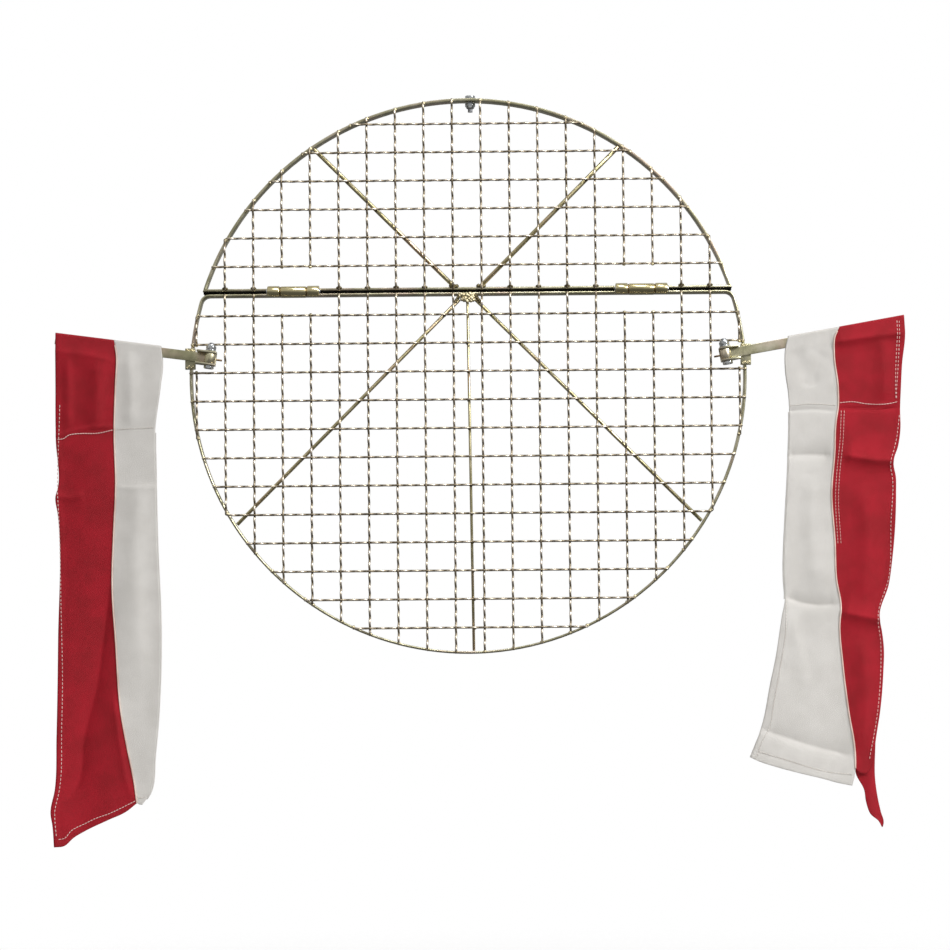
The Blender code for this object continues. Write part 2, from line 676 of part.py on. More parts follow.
def make_flag(side, parent):
    """The closed space of a hanging flag, with its sleeve open round the arm."""
    sign = SIDES[side]
    slope = math.tan(math.radians(ARM_SLOPE[side]))
    plane = FRONT - (PIVOT_FORWARD - EYE_RADIUS + ARM_THICKNESS / 2)

    def level(half, inner, outer):
        edges = [(inner, -half), (outer, -half), (outer, half), (inner, half)]
        return [Vector((sign * x, plane + y, z)) for (x, z), y in edges]

    def on_arm(offset):
        return [(x, PIVOT_Z + (x - PIVOT_X) * slope + offset) for x in sleeve_ends(side)]

    lip = ARM_HEIGHT / 2 + SLEEVE_PLAY + FLAG_WALL
    loops = [level(SLEEVE_HALF / 2, *on_arm(lip)), level(SLEEVE_HALF, *on_arm(lip - FLAG_WALL)),
             level(SLEEVE_HALF, *on_arm(-lip)), level(CLOTH_HALF, *on_arm(-SLEEVE_DROP))]
    for row in FLAG_FALL[side]:
        inner_out, inner_down, outer_out, outer_down = (value * MM for value in row)
        loops.append(level(CLOTH_HALF, (RIM_RADIUS + inner_out, PIVOT_Z - inner_down),
                           (RIM_RADIUS + outer_out, PIVOT_Z - outer_down)))
    flag = make_object(f"{side}_flag", loft(loops), "flag_red", parent)
    frame = pivot_frame(side)
    wide = ARM_THICKNESS / 2 + SLEEVE_PLAY
    tall = ARM_HEIGHT / 2 + SLEEVE_PLAY
    centre = ARM_THICKNESS / 2 - EYE_RADIUS
    section = [(centre - wide, -tall), (centre + wide, -tall), (centre + wide, tall), (centre - wide, tall)]
    before_mouth = (sleeve_ends(side)[0] - PIVOT_X) / 2
    hollow = channel(frame, section, before_mouth, arm_reach(side) + SLEEVE_PLAY)
    subtract(flag, make_object(f"{side}_sleeve_cutter", hollow, parent=parent))


def build():
    clear_scene()
    flap_pivot = make_pivot("flap_pivot", HINGE_AXIS)
    make_main_frame()
    flap_rim = make_flap_rim(flap_pivot)
    make_flap_chord_bar(flap_pivot)
    columns, rows = plan_wires(-RIM_RADIUS, MAIN_CHORD - WIRE_INSET, MAIN_TOP_ROW, -ROW_PITCH)
    make_mesh_panel("main_mesh", columns, rows)
    columns, rows = plan_wires(FLAP_CHORD + WIRE_INSET, RIM_RADIUS, FLAP_LOW_ROW, ROW_PITCH)
    make_mesh_panel("flap_mesh", columns, rows, flap_pivot)
    make_flap_braces(flap_pivot)
    make_main_braces()
    make_hanging_bolt(flap_rim, flap_pivot)
    for side in SIDES:
        make_hinge(side, flap_pivot)
        ear = make_clevis(side)
        make_pivot_fasteners(side, ear)
        arm_pivot = make_pivot(f"{side}_arm_pivot", pivot_frame(side).translation)
        make_arm(side, arm_pivot)
        make_flag(side, arm_pivot)


build()
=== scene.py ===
# %% [markdown]
# # A folding guard grate with two warning flags
# The real object lies over an open manhole: a round steel grate of woven wire that folds in two on a pair of
# barrel hinges, with a flag arm at each side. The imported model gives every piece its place, and this lesson gives
# every piece its surface. Shapes are worked out in millimetres, and MM turns them into Blender's metres.

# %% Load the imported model
import json
import math
import random

import bmesh
import bpy
import numpy as np
from mathutils import Matrix, Quaternion, Vector, noise


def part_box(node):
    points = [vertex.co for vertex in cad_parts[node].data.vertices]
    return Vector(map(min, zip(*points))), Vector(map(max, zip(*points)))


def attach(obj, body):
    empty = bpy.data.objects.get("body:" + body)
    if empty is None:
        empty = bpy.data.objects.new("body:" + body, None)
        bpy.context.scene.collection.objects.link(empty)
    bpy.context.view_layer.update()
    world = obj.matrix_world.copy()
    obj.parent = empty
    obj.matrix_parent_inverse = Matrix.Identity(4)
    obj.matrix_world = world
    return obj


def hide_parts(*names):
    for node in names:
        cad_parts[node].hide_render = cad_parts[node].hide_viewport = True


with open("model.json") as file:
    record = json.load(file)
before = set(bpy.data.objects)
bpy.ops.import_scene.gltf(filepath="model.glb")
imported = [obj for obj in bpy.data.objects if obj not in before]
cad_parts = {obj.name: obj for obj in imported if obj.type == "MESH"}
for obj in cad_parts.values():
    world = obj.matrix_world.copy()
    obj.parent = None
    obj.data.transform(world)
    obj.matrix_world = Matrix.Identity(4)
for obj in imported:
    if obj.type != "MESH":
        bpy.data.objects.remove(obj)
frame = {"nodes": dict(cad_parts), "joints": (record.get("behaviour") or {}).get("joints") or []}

MM = 0.001
NODES = frame["nodes"]
JOINTS = {joint["name"]: joint for joint in frame["joints"]}
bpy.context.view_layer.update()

# %% [markdown]
# ## Numbers that travel through a finish
# A finish is a small network of nodes. Written node by node it is long, so one class wraps a socket and lets
# Python's own signs add the Math nodes, and one method of the finish adds any other node. A sign has a reflected
# form too, such as __rsub__, so that 1 - mask works as well as mask - 1.

# %% Shader arithmetic
class Signal:
    """A value on its way through a finish. Arithmetic on it adds Math nodes."""

    def __init__(self, finish, socket):
        self.finish = finish
        self.socket = socket

    def math(self, operation, first, second=0.0):
        return self.finish.node("ShaderNodeMath", {"operation": operation}, {0: first, 1: second})

    def __add__(self, other):
        return self.math("ADD", self, other)

    def __radd__(self, other):
        return self.math("ADD", other, self)

    def __sub__(self, other):
        return self.math("SUBTRACT", self, other)

    def __rsub__(self, other):
        return self.math("SUBTRACT", other, self)

    def __mul__(self, other):
        return self.math("MULTIPLY", self, other)

    def __rmul__(self, other):
        return self.math("MULTIPLY", other, self)

    def wave(self):
        return self.math("SINE", self)


# %% A finish and its nodes
OUTPUT = {"object place": 3, "world direction": 0, "attribute factor": 2, "edge or hollow": 7, "each wire": 8,
          "length": 1, "mixed colour": 2, "seen by the camera": 0}


class Finish:
    """One node tree, for a material or for the world. OUTPUT names the outputs that it reads by number."""

    def __init__(self, name, tree=None):
        self.material = None
        if tree is None:
            self.material = bpy.data.materials.new(name)
            self.material.use_nodes = True
            tree = self.material.node_tree
        self.tree = tree
        self.tree.nodes.clear()

    def node(self, kind, settings=None, sockets=None, output=0):
        """Add a node: its settings first, then values or links for its sockets."""
        made = self.tree.nodes.new(kind)
        for key, value in (settings or {}).items():
            if key != "stops":
                setattr(made, key, value)
                continue
            elements = made.color_ramp.elements
            while len(elements) < len(value):
                elements.new(0.5)
            for element, (position, colour) in zip(elements, value):
                element.position = position
                element.color = (*colour, 1.0)
        for key, value in (sockets or {}).items():
            if isinstance(value, Signal):
                self.tree.links.new(value.socket, made.inputs[key])
            else:
                made.inputs[key].default_value = value
        return Signal(self, made.outputs[output])

    def place(self):
        """Where a point is on the piece, in metres. It moves with the piece."""
        return self.node("ShaderNodeTexCoord", output=OUTPUT["object place"])

    def axis(self, where, index):
        return self.node("ShaderNodeSeparateXYZ", None, {0: where}, output=index)

    def noise(self, where, scale, detail=3.0, roughness=0.55):
        sockets = {"Vector": where, "Scale": scale, "Detail": detail, "Roughness": roughness}
        return self.node("ShaderNodeTexNoise", None, sockets)

    def stretch(self, where, x, y, z):
        return self.node("ShaderNodeVectorMath", {"operation": "MULTIPLY"}, {0: where, 1: (x, y, z)})

    def band(self, value, low, high, start=0.0, end=1.0):
        """start below low, end above high and smooth in between."""
        return self.node("ShaderNodeMapRange", {"interpolation_type": "SMOOTHSTEP"},
                         {"Value": value, "From Min": low, "From Max": high, "To Min": start, "To Max": end})

    def ramp(self, value, *stops):
        return self.node("ShaderNodeValToRGB", {"stops": stops}, {0: value})

    def mix(self, factor, first, second):
        first, second = [(*c, 1.0) if isinstance(c, tuple) else c for c in (first, second)]
        return self.node("ShaderNodeMix", {"data_type": "RGBA"}, {0: factor, 6: first, 7: second},
                         output=OUTPUT["mixed colour"])

    def worn_edge(self):
        """1 on an outside edge, where a coating is rubbed, and 0 on a flat face."""
        return self.band(self.node("ShaderNodeNewGeometry", output=OUTPUT["edge or hollow"]), 0.52, 0.62)

    def bump(self, height, distance, strength=1.0):
        return self.node("ShaderNodeBump", None, {"Height": height, "Distance": distance, "Strength": strength})

    def surface(self, **sockets):
        """Close the tree with the surface itself. Underscores in a socket's name stand for spaces."""
        named = {key.replace("_", " "): value for key, value in sockets.items()}
        shader = self.node("ShaderNodeBsdfPrincipled", None, named)
        end = self.tree.nodes.new("ShaderNodeOutputMaterial")
        self.tree.links.new(shader.socket, end.inputs["Surface"])
        return self.material


# %% [markdown]
# ## The chromated steel
# The strip, rods and wire are zinc plated and then dipped in a chromate bath, which leaves a thin olive film with
# pink and green clouds. A ramp over a slow noise gives the clouds, and a fast noise breaks up the gloss. A noise's
# scale is per metre here: 55 gives clouds about 18 mm across, and 900 a grain of about 1 mm.

# %% Chromate on strip and rod
def chromate(name, dark, middle, light, pink):
    finish = Finish(name)
    place = finish.place()
    cloud = finish.noise(place, 55.0, 4.0)
    grain = finish.noise(finish.stretch(place, 1.0, 1.0, 0.35), 900.0, 2.0)
    blush = finish.band(finish.noise(place, 23.0, 2.0), 0.48, 0.68)
    film = finish.ramp(cloud, (0.30, dark), (0.50, middle), (0.70, light))
    film = finish.mix(blush * 0.6, film, pink)
    film = finish.mix(finish.worn_edge() * 0.35, film, light)
    gloss = 0.30 - 0.10 * cloud + 0.22 * grain
    return finish.surface(Base_Color=film, Metallic=1.0, Roughness=gloss,
                          Normal=finish.bump(grain + cloud * 2.0, 0.00006))


PLATE = chromate("chromate_plate", dark=(0.42, 0.41, 0.25), middle=(0.62, 0.59, 0.39), light=(0.91, 0.87, 0.67),
                 pink=(0.78, 0.58, 0.50))
ROD = chromate("chromate_rod", dark=(0.38, 0.36, 0.17), middle=(0.56, 0.50, 0.27), light=(0.84, 0.76, 0.50),
               pink=(0.80, 0.50, 0.40))
print("made", PLATE.name, "and", ROD.name)

# %% [markdown]
# ## The wire's finish
# A crimped wire gets a painted highlight on its crests and painted shade in its troughs and at its crossings. The
# wire's own mesh carries a number for this, 0 in a trough and 1 on a crest, which the finish reads.

# %% Chromate on the crimped wire
def wire_finish(name):
    finish = Finish(name)
    place = finish.place()
    crimp = finish.node("ShaderNodeAttribute", {"attribute_name": "crimp"}, output=OUTPUT["attribute factor"])
    each = finish.node("ShaderNodeNewGeometry", output=OUTPUT["each wire"])
    cloud = finish.noise(place, 40.0, 3.0)
    grain = finish.noise(place, 1400.0, 2.0)
    # Painted highlight on the front crests, and painted shade in the troughs and at the crossings.
    highlight_mask = finish.band(crimp + 0.25 * (cloud - 0.5), 0.38, 0.72)
    trough_shade = finish.ramp(each, (0.0, (0.23, 0.19, 0.13)), (1.0, (0.40, 0.34, 0.25)))
    crest_highlight = finish.ramp(cloud, (0.35, (0.68, 0.61, 0.46)), (0.65, (0.90, 0.80, 0.69)))
    return finish.surface(Base_Color=finish.mix(highlight_mask, trough_shade, crest_highlight), Metallic=1.0,
                          Roughness=0.50 - 0.16 * highlight_mask + 0.12 * grain, Normal=finish.bump(grain, 0.00004))


WIRE = wire_finish("chromate_wire")
print("made", WIRE.name)

# %% [markdown]
# ## Weld metal, hinge gold, zinc and brass
# Weld beads are pale gold where they are clean and brown where they burnt, and the same brown paints the shadow
# beside the hub's weld. The hinge barrels are turned on a lathe, so fine rings run round them. The fasteners are
# bright zinc with a nylon ring in each nut, and the thrust washers are brass. All the metals differ only in tone,
# gloss and grain, so one helper makes them.

# %% Finishes of the small metal
def metal(name, low, high, rough, scale, ring_axis=None, depth=0.00005):
    """A metal between a low and a high tone. ring_axis is the axis that a lathe turned it about."""
    finish = Finish(name)
    place = finish.place()
    cloud = finish.noise(place, scale, 4.0)
    fine = finish.noise(place, scale * 9.0, 2.0)
    height = fine
    if ring_axis is not None:
        height = height + (finish.axis(place, ring_axis) * 9000.0).wave() * 0.5
    colour = finish.mix(finish.worn_edge() * 0.4, finish.ramp(cloud, (0.32, low), (0.68, high)), high)
    return finish.surface(Base_Color=colour, Metallic=1.0, Roughness=rough + 0.16 * (fine - 0.4),
                          Normal=finish.bump(height, depth))


WELD = metal("weld_clean", (0.50, 0.42, 0.24), (0.92, 0.84, 0.58), 0.42, 260.0, depth=0.0003)
BURNT_AND_SHADE = metal("weld_burnt_and_shade", (0.10, 0.085, 0.045), (0.28, 0.235, 0.13), 0.50, 260.0, depth=0.0003)
GOLD = metal("gold_barrel", (0.70, 0.61, 0.32), (0.88, 0.79, 0.47), 0.20, 25.0, ring_axis=0, depth=0.000003)
ZINC = metal("zinc_plate", (0.50, 0.53, 0.55), (0.86, 0.89, 0.91), 0.24, 150.0)
THREADED = metal("zinc_thread", (0.20, 0.21, 0.23), (0.55, 0.57, 0.60), 0.40, 300.0)
BRASS = metal("brass_washer", (0.16, 0.10, 0.04), (0.50, 0.36, 0.15), 0.40, 150.0)
# A black finish that paints the shadow in the slit between the chord bars.
SLIT_SHADOW = metal("painted_slit_shadow", (0.004, 0.004, 0.003), (0.012, 0.011, 0.009), 0.75, 200.0)
PIN = metal("lug_pin_bronze", (0.22, 0.13, 0.07), (0.50, 0.34, 0.18), 0.36, 150.0)
print("small metal:", [made.name for made in (WELD, BURNT_AND_SHADE, GOLD, ZINC, THREADED, BRASS, SLIT_SHADOW, PIN)])


# %% Nylon of the lock nuts
def plastic(name, colour):
    finish = Finish(name)
    fine = finish.noise(finish.place(), 1500.0, 2.0)
    tone = finish.mix(fine, colour, tuple(0.8 * channel for channel in colour))
    return finish.surface(Base_Color=tone, Roughness=0.38 + 0.15 * fine, Normal=finish.bump(fine, 0.00003))


NYLON = plastic("nylon_ring", (0.42, 0.55, 0.66))
print("made", NYLON.name)

# %% [markdown]
# ## The flags' cloth
# The flags are thin woven polyester. Two crossed sines make the weave's threads at their real pitch, one for the
# warp and one for the weft, and a slow noise makes the cloth a little uneven. A soft sheen lifts the edges.

# %% Cloth, piping and thread
def cloth(name, deep, full, pitch=0.55):
    """Plain weave between two close tones. pitch is from thread to thread, in mm."""
    finish = Finish(name)
    place = finish.place()
    turns = 2.0 * math.pi / (pitch * MM)
    warp = (finish.axis(place, 0) * turns).wave()
    weft = (finish.axis(place, 2) * turns).wave()
    weave = warp * weft
    cloud = finish.noise(place, 30.0, 4.0)
    slub = finish.noise(finish.stretch(place, 1.0, 1.0, 0.06), 1500.0, 2.0)
    colour = finish.mix(finish.band(cloud + 0.10 * weave + 0.2 * (slub - 0.5), 0.30, 0.70), deep, full)
    return finish.surface(Base_Color=colour, Roughness=0.62 + 0.12 * (slub - 0.5), Sheen_Weight=0.04,
                          Sheen_Roughness=0.45, Specular_IOR_Level=0.25, Normal=finish.bump(weave + slub, 0.00007))


RED = cloth("red_cloth", (0.29, 0.003, 0.010), (0.38, 0.004, 0.015))
WHITE = cloth("white_cloth", (0.60, 0.58, 0.55), (0.66, 0.64, 0.61))
# Cream piping with a painted pink glow for the red light that shines through the white half's folded edge.
PIPING_WITH_RED_GLOW = cloth("cream_piping_red_glow", (0.60, 0.42, 0.36), (0.86, 0.70, 0.62), pitch=0.8)
RED_THREAD = cloth("pink_thread", (0.74, 0.44, 0.42), (0.90, 0.66, 0.62), pitch=0.3)
PALE_THREAD = cloth("pale_thread", (0.60, 0.55, 0.50), (0.88, 0.84, 0.80), pitch=0.3)
print("finishes:", len(bpy.data.materials))

# %% [markdown]
# ## A heap of mesh
# Most pieces here are many small forms in one mesh, such as every weld bead of the main part. A heap gathers the
# points and faces, with a finish for each face and, for each point, the number that paints a wire's highlight and
# shade, and makes the object at the end.

# %% Gather forms into one piece
class Heap:
    """Points in mm, faces, a finish for each face, and for each point the number that paints a wire's highlight and
    shade.
    """

    def __init__(self):
        self.points, self.faces, self.finish_of, self.crimp_shades = [], [], [], []

    def add(self, points, faces, finish=0, crimp_shades=None):
        start = len(self.points)
        self.points += [tuple(point) for point in points]
        self.crimp_shades += list(crimp_shades) if crimp_shades is not None else [0.0] * len(points)
        self.faces += [tuple(start + corner for corner in face) for face in faces]
        self.finish_of += [finish] * len(faces)

    def rings(self, rings, finish=0, crimp_shades=None, closed=True, caps=True):
        """A skin over rings of points, each ring with the same number of points."""
        count = len(rings[0])
        faces = []
        for ring in range(len(rings) - 1):
            for side in range(count if closed else count - 1):
                after = (side + 1) % count
                faces.append((ring * count + side, ring * count + after,
                              (ring + 1) * count + after, (ring + 1) * count + side))
        if caps:
            last = (len(rings) - 1) * count
            faces += [tuple(reversed(range(count))), tuple(range(last, last + count))]
        flat = [point for ring in rings for point in ring]
        spread = None if crimp_shades is None else [crimp for crimp in crimp_shades for _ in range(count)]
        self.add(flat, faces, finish, spread)

    def piece(self, name, body, slot, finishes, replaces=(), merge=0.0, thick=0.0):
        """The heap as one object, in metres, that rides on a body. merge and thick are in mm."""
        mesh = bpy.data.meshes.new(name)
        mesh.from_pydata([tuple(value * MM for value in point) for point in self.points], [], self.faces)
        for finish in finishes:
            mesh.materials.append(finish)
        mesh.polygons.foreach_set("material_index", self.finish_of)
        mesh.polygons.foreach_set("use_smooth", [True] * len(mesh.polygons))
        # Each point's number for the wire's painted highlight and shade.
        crimp = mesh.attributes.new("crimp", "FLOAT", "POINT")
        crimp.data.foreach_set("value", self.crimp_shades)
        if merge:
            work = bmesh.new()
            work.from_mesh(mesh)
            bmesh.ops.remove_doubles(work, verts=work.verts, dist=merge * MM)
            work.to_mesh(mesh)
            work.free()
        made = bpy.data.objects.new(name, mesh)
        bpy.context.scene.collection.objects.link(made)
        if thick:
            skin = made.modifiers.new("cloth thickness", "SOLIDIFY")
            skin.thickness, skin.offset = thick * MM, 0.0
        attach(made, body)
        if replaces:
            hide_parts(*replaces)
        print("made", name, "with", len(mesh.polygons), "faces")
        return made


# %% Tubes and lumps
BACKWARD = Vector((0, 1, 0))
dice = random.Random(7)


def tube(heap, path, radii, sides, crimp_shades=None):
    """A round bar swept along a path that never runs straight from front to back."""
    path = [Vector(point) for point in path]
    if isinstance(radii, (int, float)):
        radii = [radii] * len(path)
    rings = []
    for index, (point, radius) in enumerate(zip(path, radii)):
        along = (path[min(index + 1, len(path) - 1)] - path[max(index - 1, 0)]).normalized()
        side = along.cross(BACKWARD).normalized()
        up = along.cross(side)
        turns = [2 * math.pi * step / sides for step in range(sides)]
        rings.append([point + side * (radius * math.cos(a)) + up * (radius * math.sin(a)) for a in turns])
    heap.rings(rings, crimp_shades=crimp_shades)


def lump(heap, centre, size, turn=0.0, finish=0, rough=0.3):
    """A bead of weld metal: a ball pressed to a size, turned about Y and a little uneven."""
    seed = dice.uniform(0, 50)
    work = bmesh.new()
    bmesh.ops.create_icosphere(work, subdivisions=2, radius=1.0)
    spin = Matrix.Rotation(turn, 3, "Y")
    points = []
    for vertex in work.verts:
        grain = 1.0 + rough * noise.noise(vertex.co * 1.7 + Vector((seed, seed * 0.7, 0.0)))
        shaped = Vector([vertex.co[i] * size[i] * grain for i in range(3)])
        points.append(Vector(centre) + spin @ shaped)
    faces = [[vertex.index for vertex in face.verts] for face in work.faces]
    work.free()
    heap.add(points, faces, finish)


# %% [markdown]
# ## Reading the mesh's wires
# The CAD model holds each wire as a straight square bar, columns behind and rows in front. Their places and ends
# are read back from it, so the round crimped wires that replace them can't miss the rim.

# %% Read the straight wires
def straight_wires(node, plane, across, along):
    """(place, start, end) of each bar whose flat face lies in a plane y = plane, in mm."""
    mesh = NODES[node].data
    found = []
    for face in mesh.polygons:
        corners = [mesh.vertices[index].co / MM for index in face.vertices]
        if all(abs(corner.y - plane) < 0.05 for corner in corners):
            places = [corner[across] for corner in corners]
            ends = [corner[along] for corner in corners]
            found.append([(min(places) + max(places)) / 2, min(ends), max(ends)])
    wires = []
    for place, start, end in sorted(found):
        for wire in wires:
            if abs(wire[0] - place) < 2.0 and start <= wire[2] + 0.1 and end >= wire[1] - 0.1:
                wire[1], wire[2] = min(wire[1], start), max(wire[2], end)
                break
        else:
            wires.append([place, start, end])
    return wires


def trimmed(columns, rows):
    """A column that stops just past a row, beside a hinge or a clevis, is cut flush with that row."""
    for column in columns:
        for place, _, _ in rows:
            for end in (1, 2):
                if abs(column[end] - place) < 5.0:
                    column[end] = place + math.copysign(0.9, column[end] - place)
    return columns


LAYOUT = {}
for panel in ("main", "flap"):
    low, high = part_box(panel + "_mesh")
    rows = straight_wires(panel + "_mesh", low.y / MM, 2, 0)
    LAYOUT[panel] = {"columns": trimmed(straight_wires(panel + "_mesh", high.y / MM, 0, 2), rows), "rows": rows}
    print(panel, {kind: len(wires) for kind, wires in LAYOUT[panel].items()})

# %% [markdown]
# ## Woven wire
# Each wire is crimped before it is woven: two and a half waves from one crossing to the next, so it passes behind
# one wire and in front of its neighbour. One cosine gives all of that, and its sign alternates from wire to wire.
# Near a bar the wire runs straight and touches it, as the real one does where it is welded.

# %% Crimp a wire
WIRE_RADIUS = 1.28
MESH_MIDDLE = (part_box("main_mesh")[0].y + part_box("main_mesh")[1].y) / 2 / MM
CRIMP = 1.32  # how far a wave reaches to each side, in mm
SWAY = 0.22  # and how far it leans sideways
WAVES = 2.5
STEPS_PER_WAVE = 8
STRAIGHT_END = 5.0


def crimped(heap, start, end, first_crossing, pitch, sign, spot):
    """One wire. spot(s, y, sway) turns a place along it, a depth and a sideways sway into a point."""
    period = pitch / WAVES
    count = max(6, int((end - start) / period * STEPS_PER_WAVE))
    path, crimp_shades = [], []
    for step in range(count + 1):
        s = start + (end - start) * step / count
        swing = sign * math.cos(2 * math.pi * (s - first_crossing) / period)
        from_end = min(1.0, (s - start) / STRAIGHT_END, (end - s) / STRAIGHT_END)
        wavy = from_end * from_end * (3 - 2 * from_end)
        depth = MESH_MIDDLE + CRIMP * swing * wavy + (1 - wavy) * CRIMP
        path.append(spot(s, depth, SWAY * swing * wavy))
        # The number for the finish: a painted highlight on a front crest, and painted shade in a trough and at each
        # crossing.
        off_crossing = abs((s - first_crossing + pitch / 2) % pitch - pitch / 2)
        shade_at_crossing = 1 - 0.85 * math.exp(-(off_crossing / 1.9) ** 2)
        crimp_shades.append((0.5 - 0.5 * swing * wavy) * shade_at_crossing)
    tube(heap, path, WIRE_RADIUS, 8, crimp_shades)


# %% Weave the two panels
PITCH_ACROSS = LAYOUT["main"]["columns"][5][0] - LAYOUT["main"]["columns"][4][0]
PITCH_DOWN = LAYOUT["main"]["rows"][1][0] - LAYOUT["main"]["rows"][0][0]
print("wire pitch, mm:", round(PITCH_ACROSS, 2), "across,", round(PITCH_DOWN, 2), "down")

for panel, layout in LAYOUT.items():
    heap = Heap()
    row_zero, column_zero = layout["rows"][0][0], layout["columns"][0][0]
    for place, start, end in layout["columns"]:
        sign = -1 if round((place - column_zero) / PITCH_ACROSS) % 2 else 1
        crimped(heap, start, end, row_zero, PITCH_DOWN, sign, lambda s, y, sway: (place + sway, y, s))
    for place, start, end in layout["rows"]:
        sign = 1 if round((place - row_zero) / PITCH_DOWN) % 2 else -1
        crimped(heap, start, end, column_zero, PITCH_ACROSS, sign, lambda s, y, sway: (s, y, place))
    heap.piece(panel + "_woven_wire", panel, "chromate_steel", [WIRE], [panel + "_mesh"])

# %% [markdown]
# ## Weld beads
# Every wire is spot welded where it ends on the rim or on a chord bar. The beads on the rim are pale and round. On
# the flap's chord bar they are scorched and spread in two legs, and on the main chord bar they are small and bright.
# Each bead is a ball pressed to its size, with its own roughness from the dice, so that no two are the same.

# %% Beads at the wire ends
CHORD = {"main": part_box("main_frame")[1].z / MM, "flap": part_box("flap_chord_bar")[0].z / MM}
RIM_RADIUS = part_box("main_frame")[1].x / MM
FLAP_BAR_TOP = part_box("flap_chord_bar")[1].z / MM
BEADS = {"main": Heap(), "flap": Heap()}
# The second finish is scorched weld metal, and beside the hub's weld it paints shadow.
CLEAN, SCORCHED_AND_SHADE = 0, 1
NEAR_RIM, NEAR_BAR = 6.0, 4.0
DEPTH = {"rim": -21.9, "flap bar's legs": -20.9, "flap bar": -21.4, "main bar": -21.6, "below main bar": -21.8,
         "cut wire": -23.0, "rod crossing": -20.6, "rod end": -19.8}


def end_bead(heap, panel, x, z, along_row):
    """The bead at one end of a wire. A row that ends beside a hinge has none."""
    from_middle = math.hypot(x, z)
    if from_middle > RIM_RADIUS - NEAR_RIM:
        inward = 1.0 - 1.6 / from_middle
        lump(heap, (x * inward, DEPTH["rim"], z * inward), (2.1, 1.7, 2.3),
             math.atan2(x, z) + dice.uniform(-0.3, 0.3), rough=0.35)
    elif along_row:
        return
    elif panel == "flap" and z < CHORD["flap"] + NEAR_BAR:
        for side in (-1, 1):
            lump(heap, (x + side * 1.7, DEPTH["flap bar's legs"], FLAP_BAR_TOP + 0.5), (1.9, 1.7, 1.3), side * 0.35,
                 SCORCHED_AND_SHADE)
        lump(heap, (x, DEPTH["flap bar"], FLAP_BAR_TOP + 1.9), (1.5, 1.6, 2.9), 0, SCORCHED_AND_SHADE, 0.25)
    elif panel == "main" and z > CHORD["main"] - NEAR_BAR:
        lump(heap, (x, DEPTH["main bar"], z - 1.1), (2.1, 1.5, 1.3))
        lump(heap, (x, DEPTH["below main bar"], z - 2.4), (1.4, 1.5, 1.7))
    else:
        lump(heap, (x, DEPTH["cut wire"], z), (2.1, 1.9, 1.7))


for panel, layout in LAYOUT.items():
    for place, start, end in layout["columns"]:
        end_bead(BEADS[panel], panel, place, start, along_row=False)
        end_bead(BEADS[panel], panel, place, end, along_row=False)
    for place, start, end in layout["rows"]:
        end_bead(BEADS[panel], panel, start, place, along_row=True)
        end_bead(BEADS[panel], panel, end, place, along_row=True)
    print(panel, "wire-end beads, in points:", len(BEADS[panel].points))

# %% [markdown]
# ## Beads on the braces
# The brace rods lie behind the woven wire and are spot welded where they cross it. Where the three rods of the main
# part meet under the chord bar there is one big rough weld, made here of many overlapping beads, and dark beads
# beside it paint the shadow around it.

# %% Beads along the braces and the hub
BRACES = {"main": (("main_brace_left", -1), ("main_brace_right", 1), ("main_brace_centre", 1)),
          "flap": (("flap_brace_left", 1), ("flap_brace_right", -1))}


def brace_line(node, rise):
    """The two ends of a rod, in mm. rise is 1 where it climbs to the left and -1 where it climbs to the right."""
    low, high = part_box(node)
    ends = ((low.x, high.z if rise > 0 else low.z), (high.x, low.z if rise > 0 else high.z))
    return [(x / MM, z / MM) for x, z in ends]


for panel, braces in BRACES.items():
    for node, rise in braces:
        (x0, z0), (x1, z1) = brace_line(node, rise)
        for place, _, _ in LAYOUT[panel]["rows"]:
            share = (place - z0) / (z1 - z0)
            if 0.05 < share < 0.95 and dice.random() < 0.8:
                lump(BEADS[panel], (x0 + share * (x1 - x0), DEPTH["rod crossing"], place - 1.2), (1.9, 1.3, 1.3),
                     dice.uniform(-0.5, 0.5), SCORCHED_AND_SHADE)

HUB_BEADS = 26
for _ in range(HUB_BEADS):
    spread = dice.uniform(-1, 1)
    fall = dice.uniform(0, 1)
    middle = (10.5 * spread * (1 - 0.45 * fall), DEPTH["rod crossing"] - 1.4 * (1 - abs(spread)),
              CHORD["main"] - 2.0 - 9.5 * fall)
    lump(BEADS["main"], middle, (dice.uniform(1.8, 3.0), 2.2, dice.uniform(1.8, 3.0)), dice.uniform(-0.8, 0.8),
         CLEAN, 0.5)
# Dark beads on each side of the hub's weld paint the shadow around it.
for side in (-1, 1):
    for step in range(4):
        lump(BEADS["main"], (side * (9.5 + 1.6 * step), DEPTH["rod end"], CHORD["main"] - 4.5 - 2.2 * step),
             (2.3, 2.0, 2.0), 0, SCORCHED_AND_SHADE, 0.4)
print("beads in the hub's weld:", HUB_BEADS)

# %% [markdown]
# ## Beads on the foot plates and at the flap's rods
# Each foot plate is held by four short slanting beads inside its corners. The flap's two rods stop at its chord bar
# in a few scorched beads. Then each part's beads become one piece, because they are one kind of thing: weld metal.

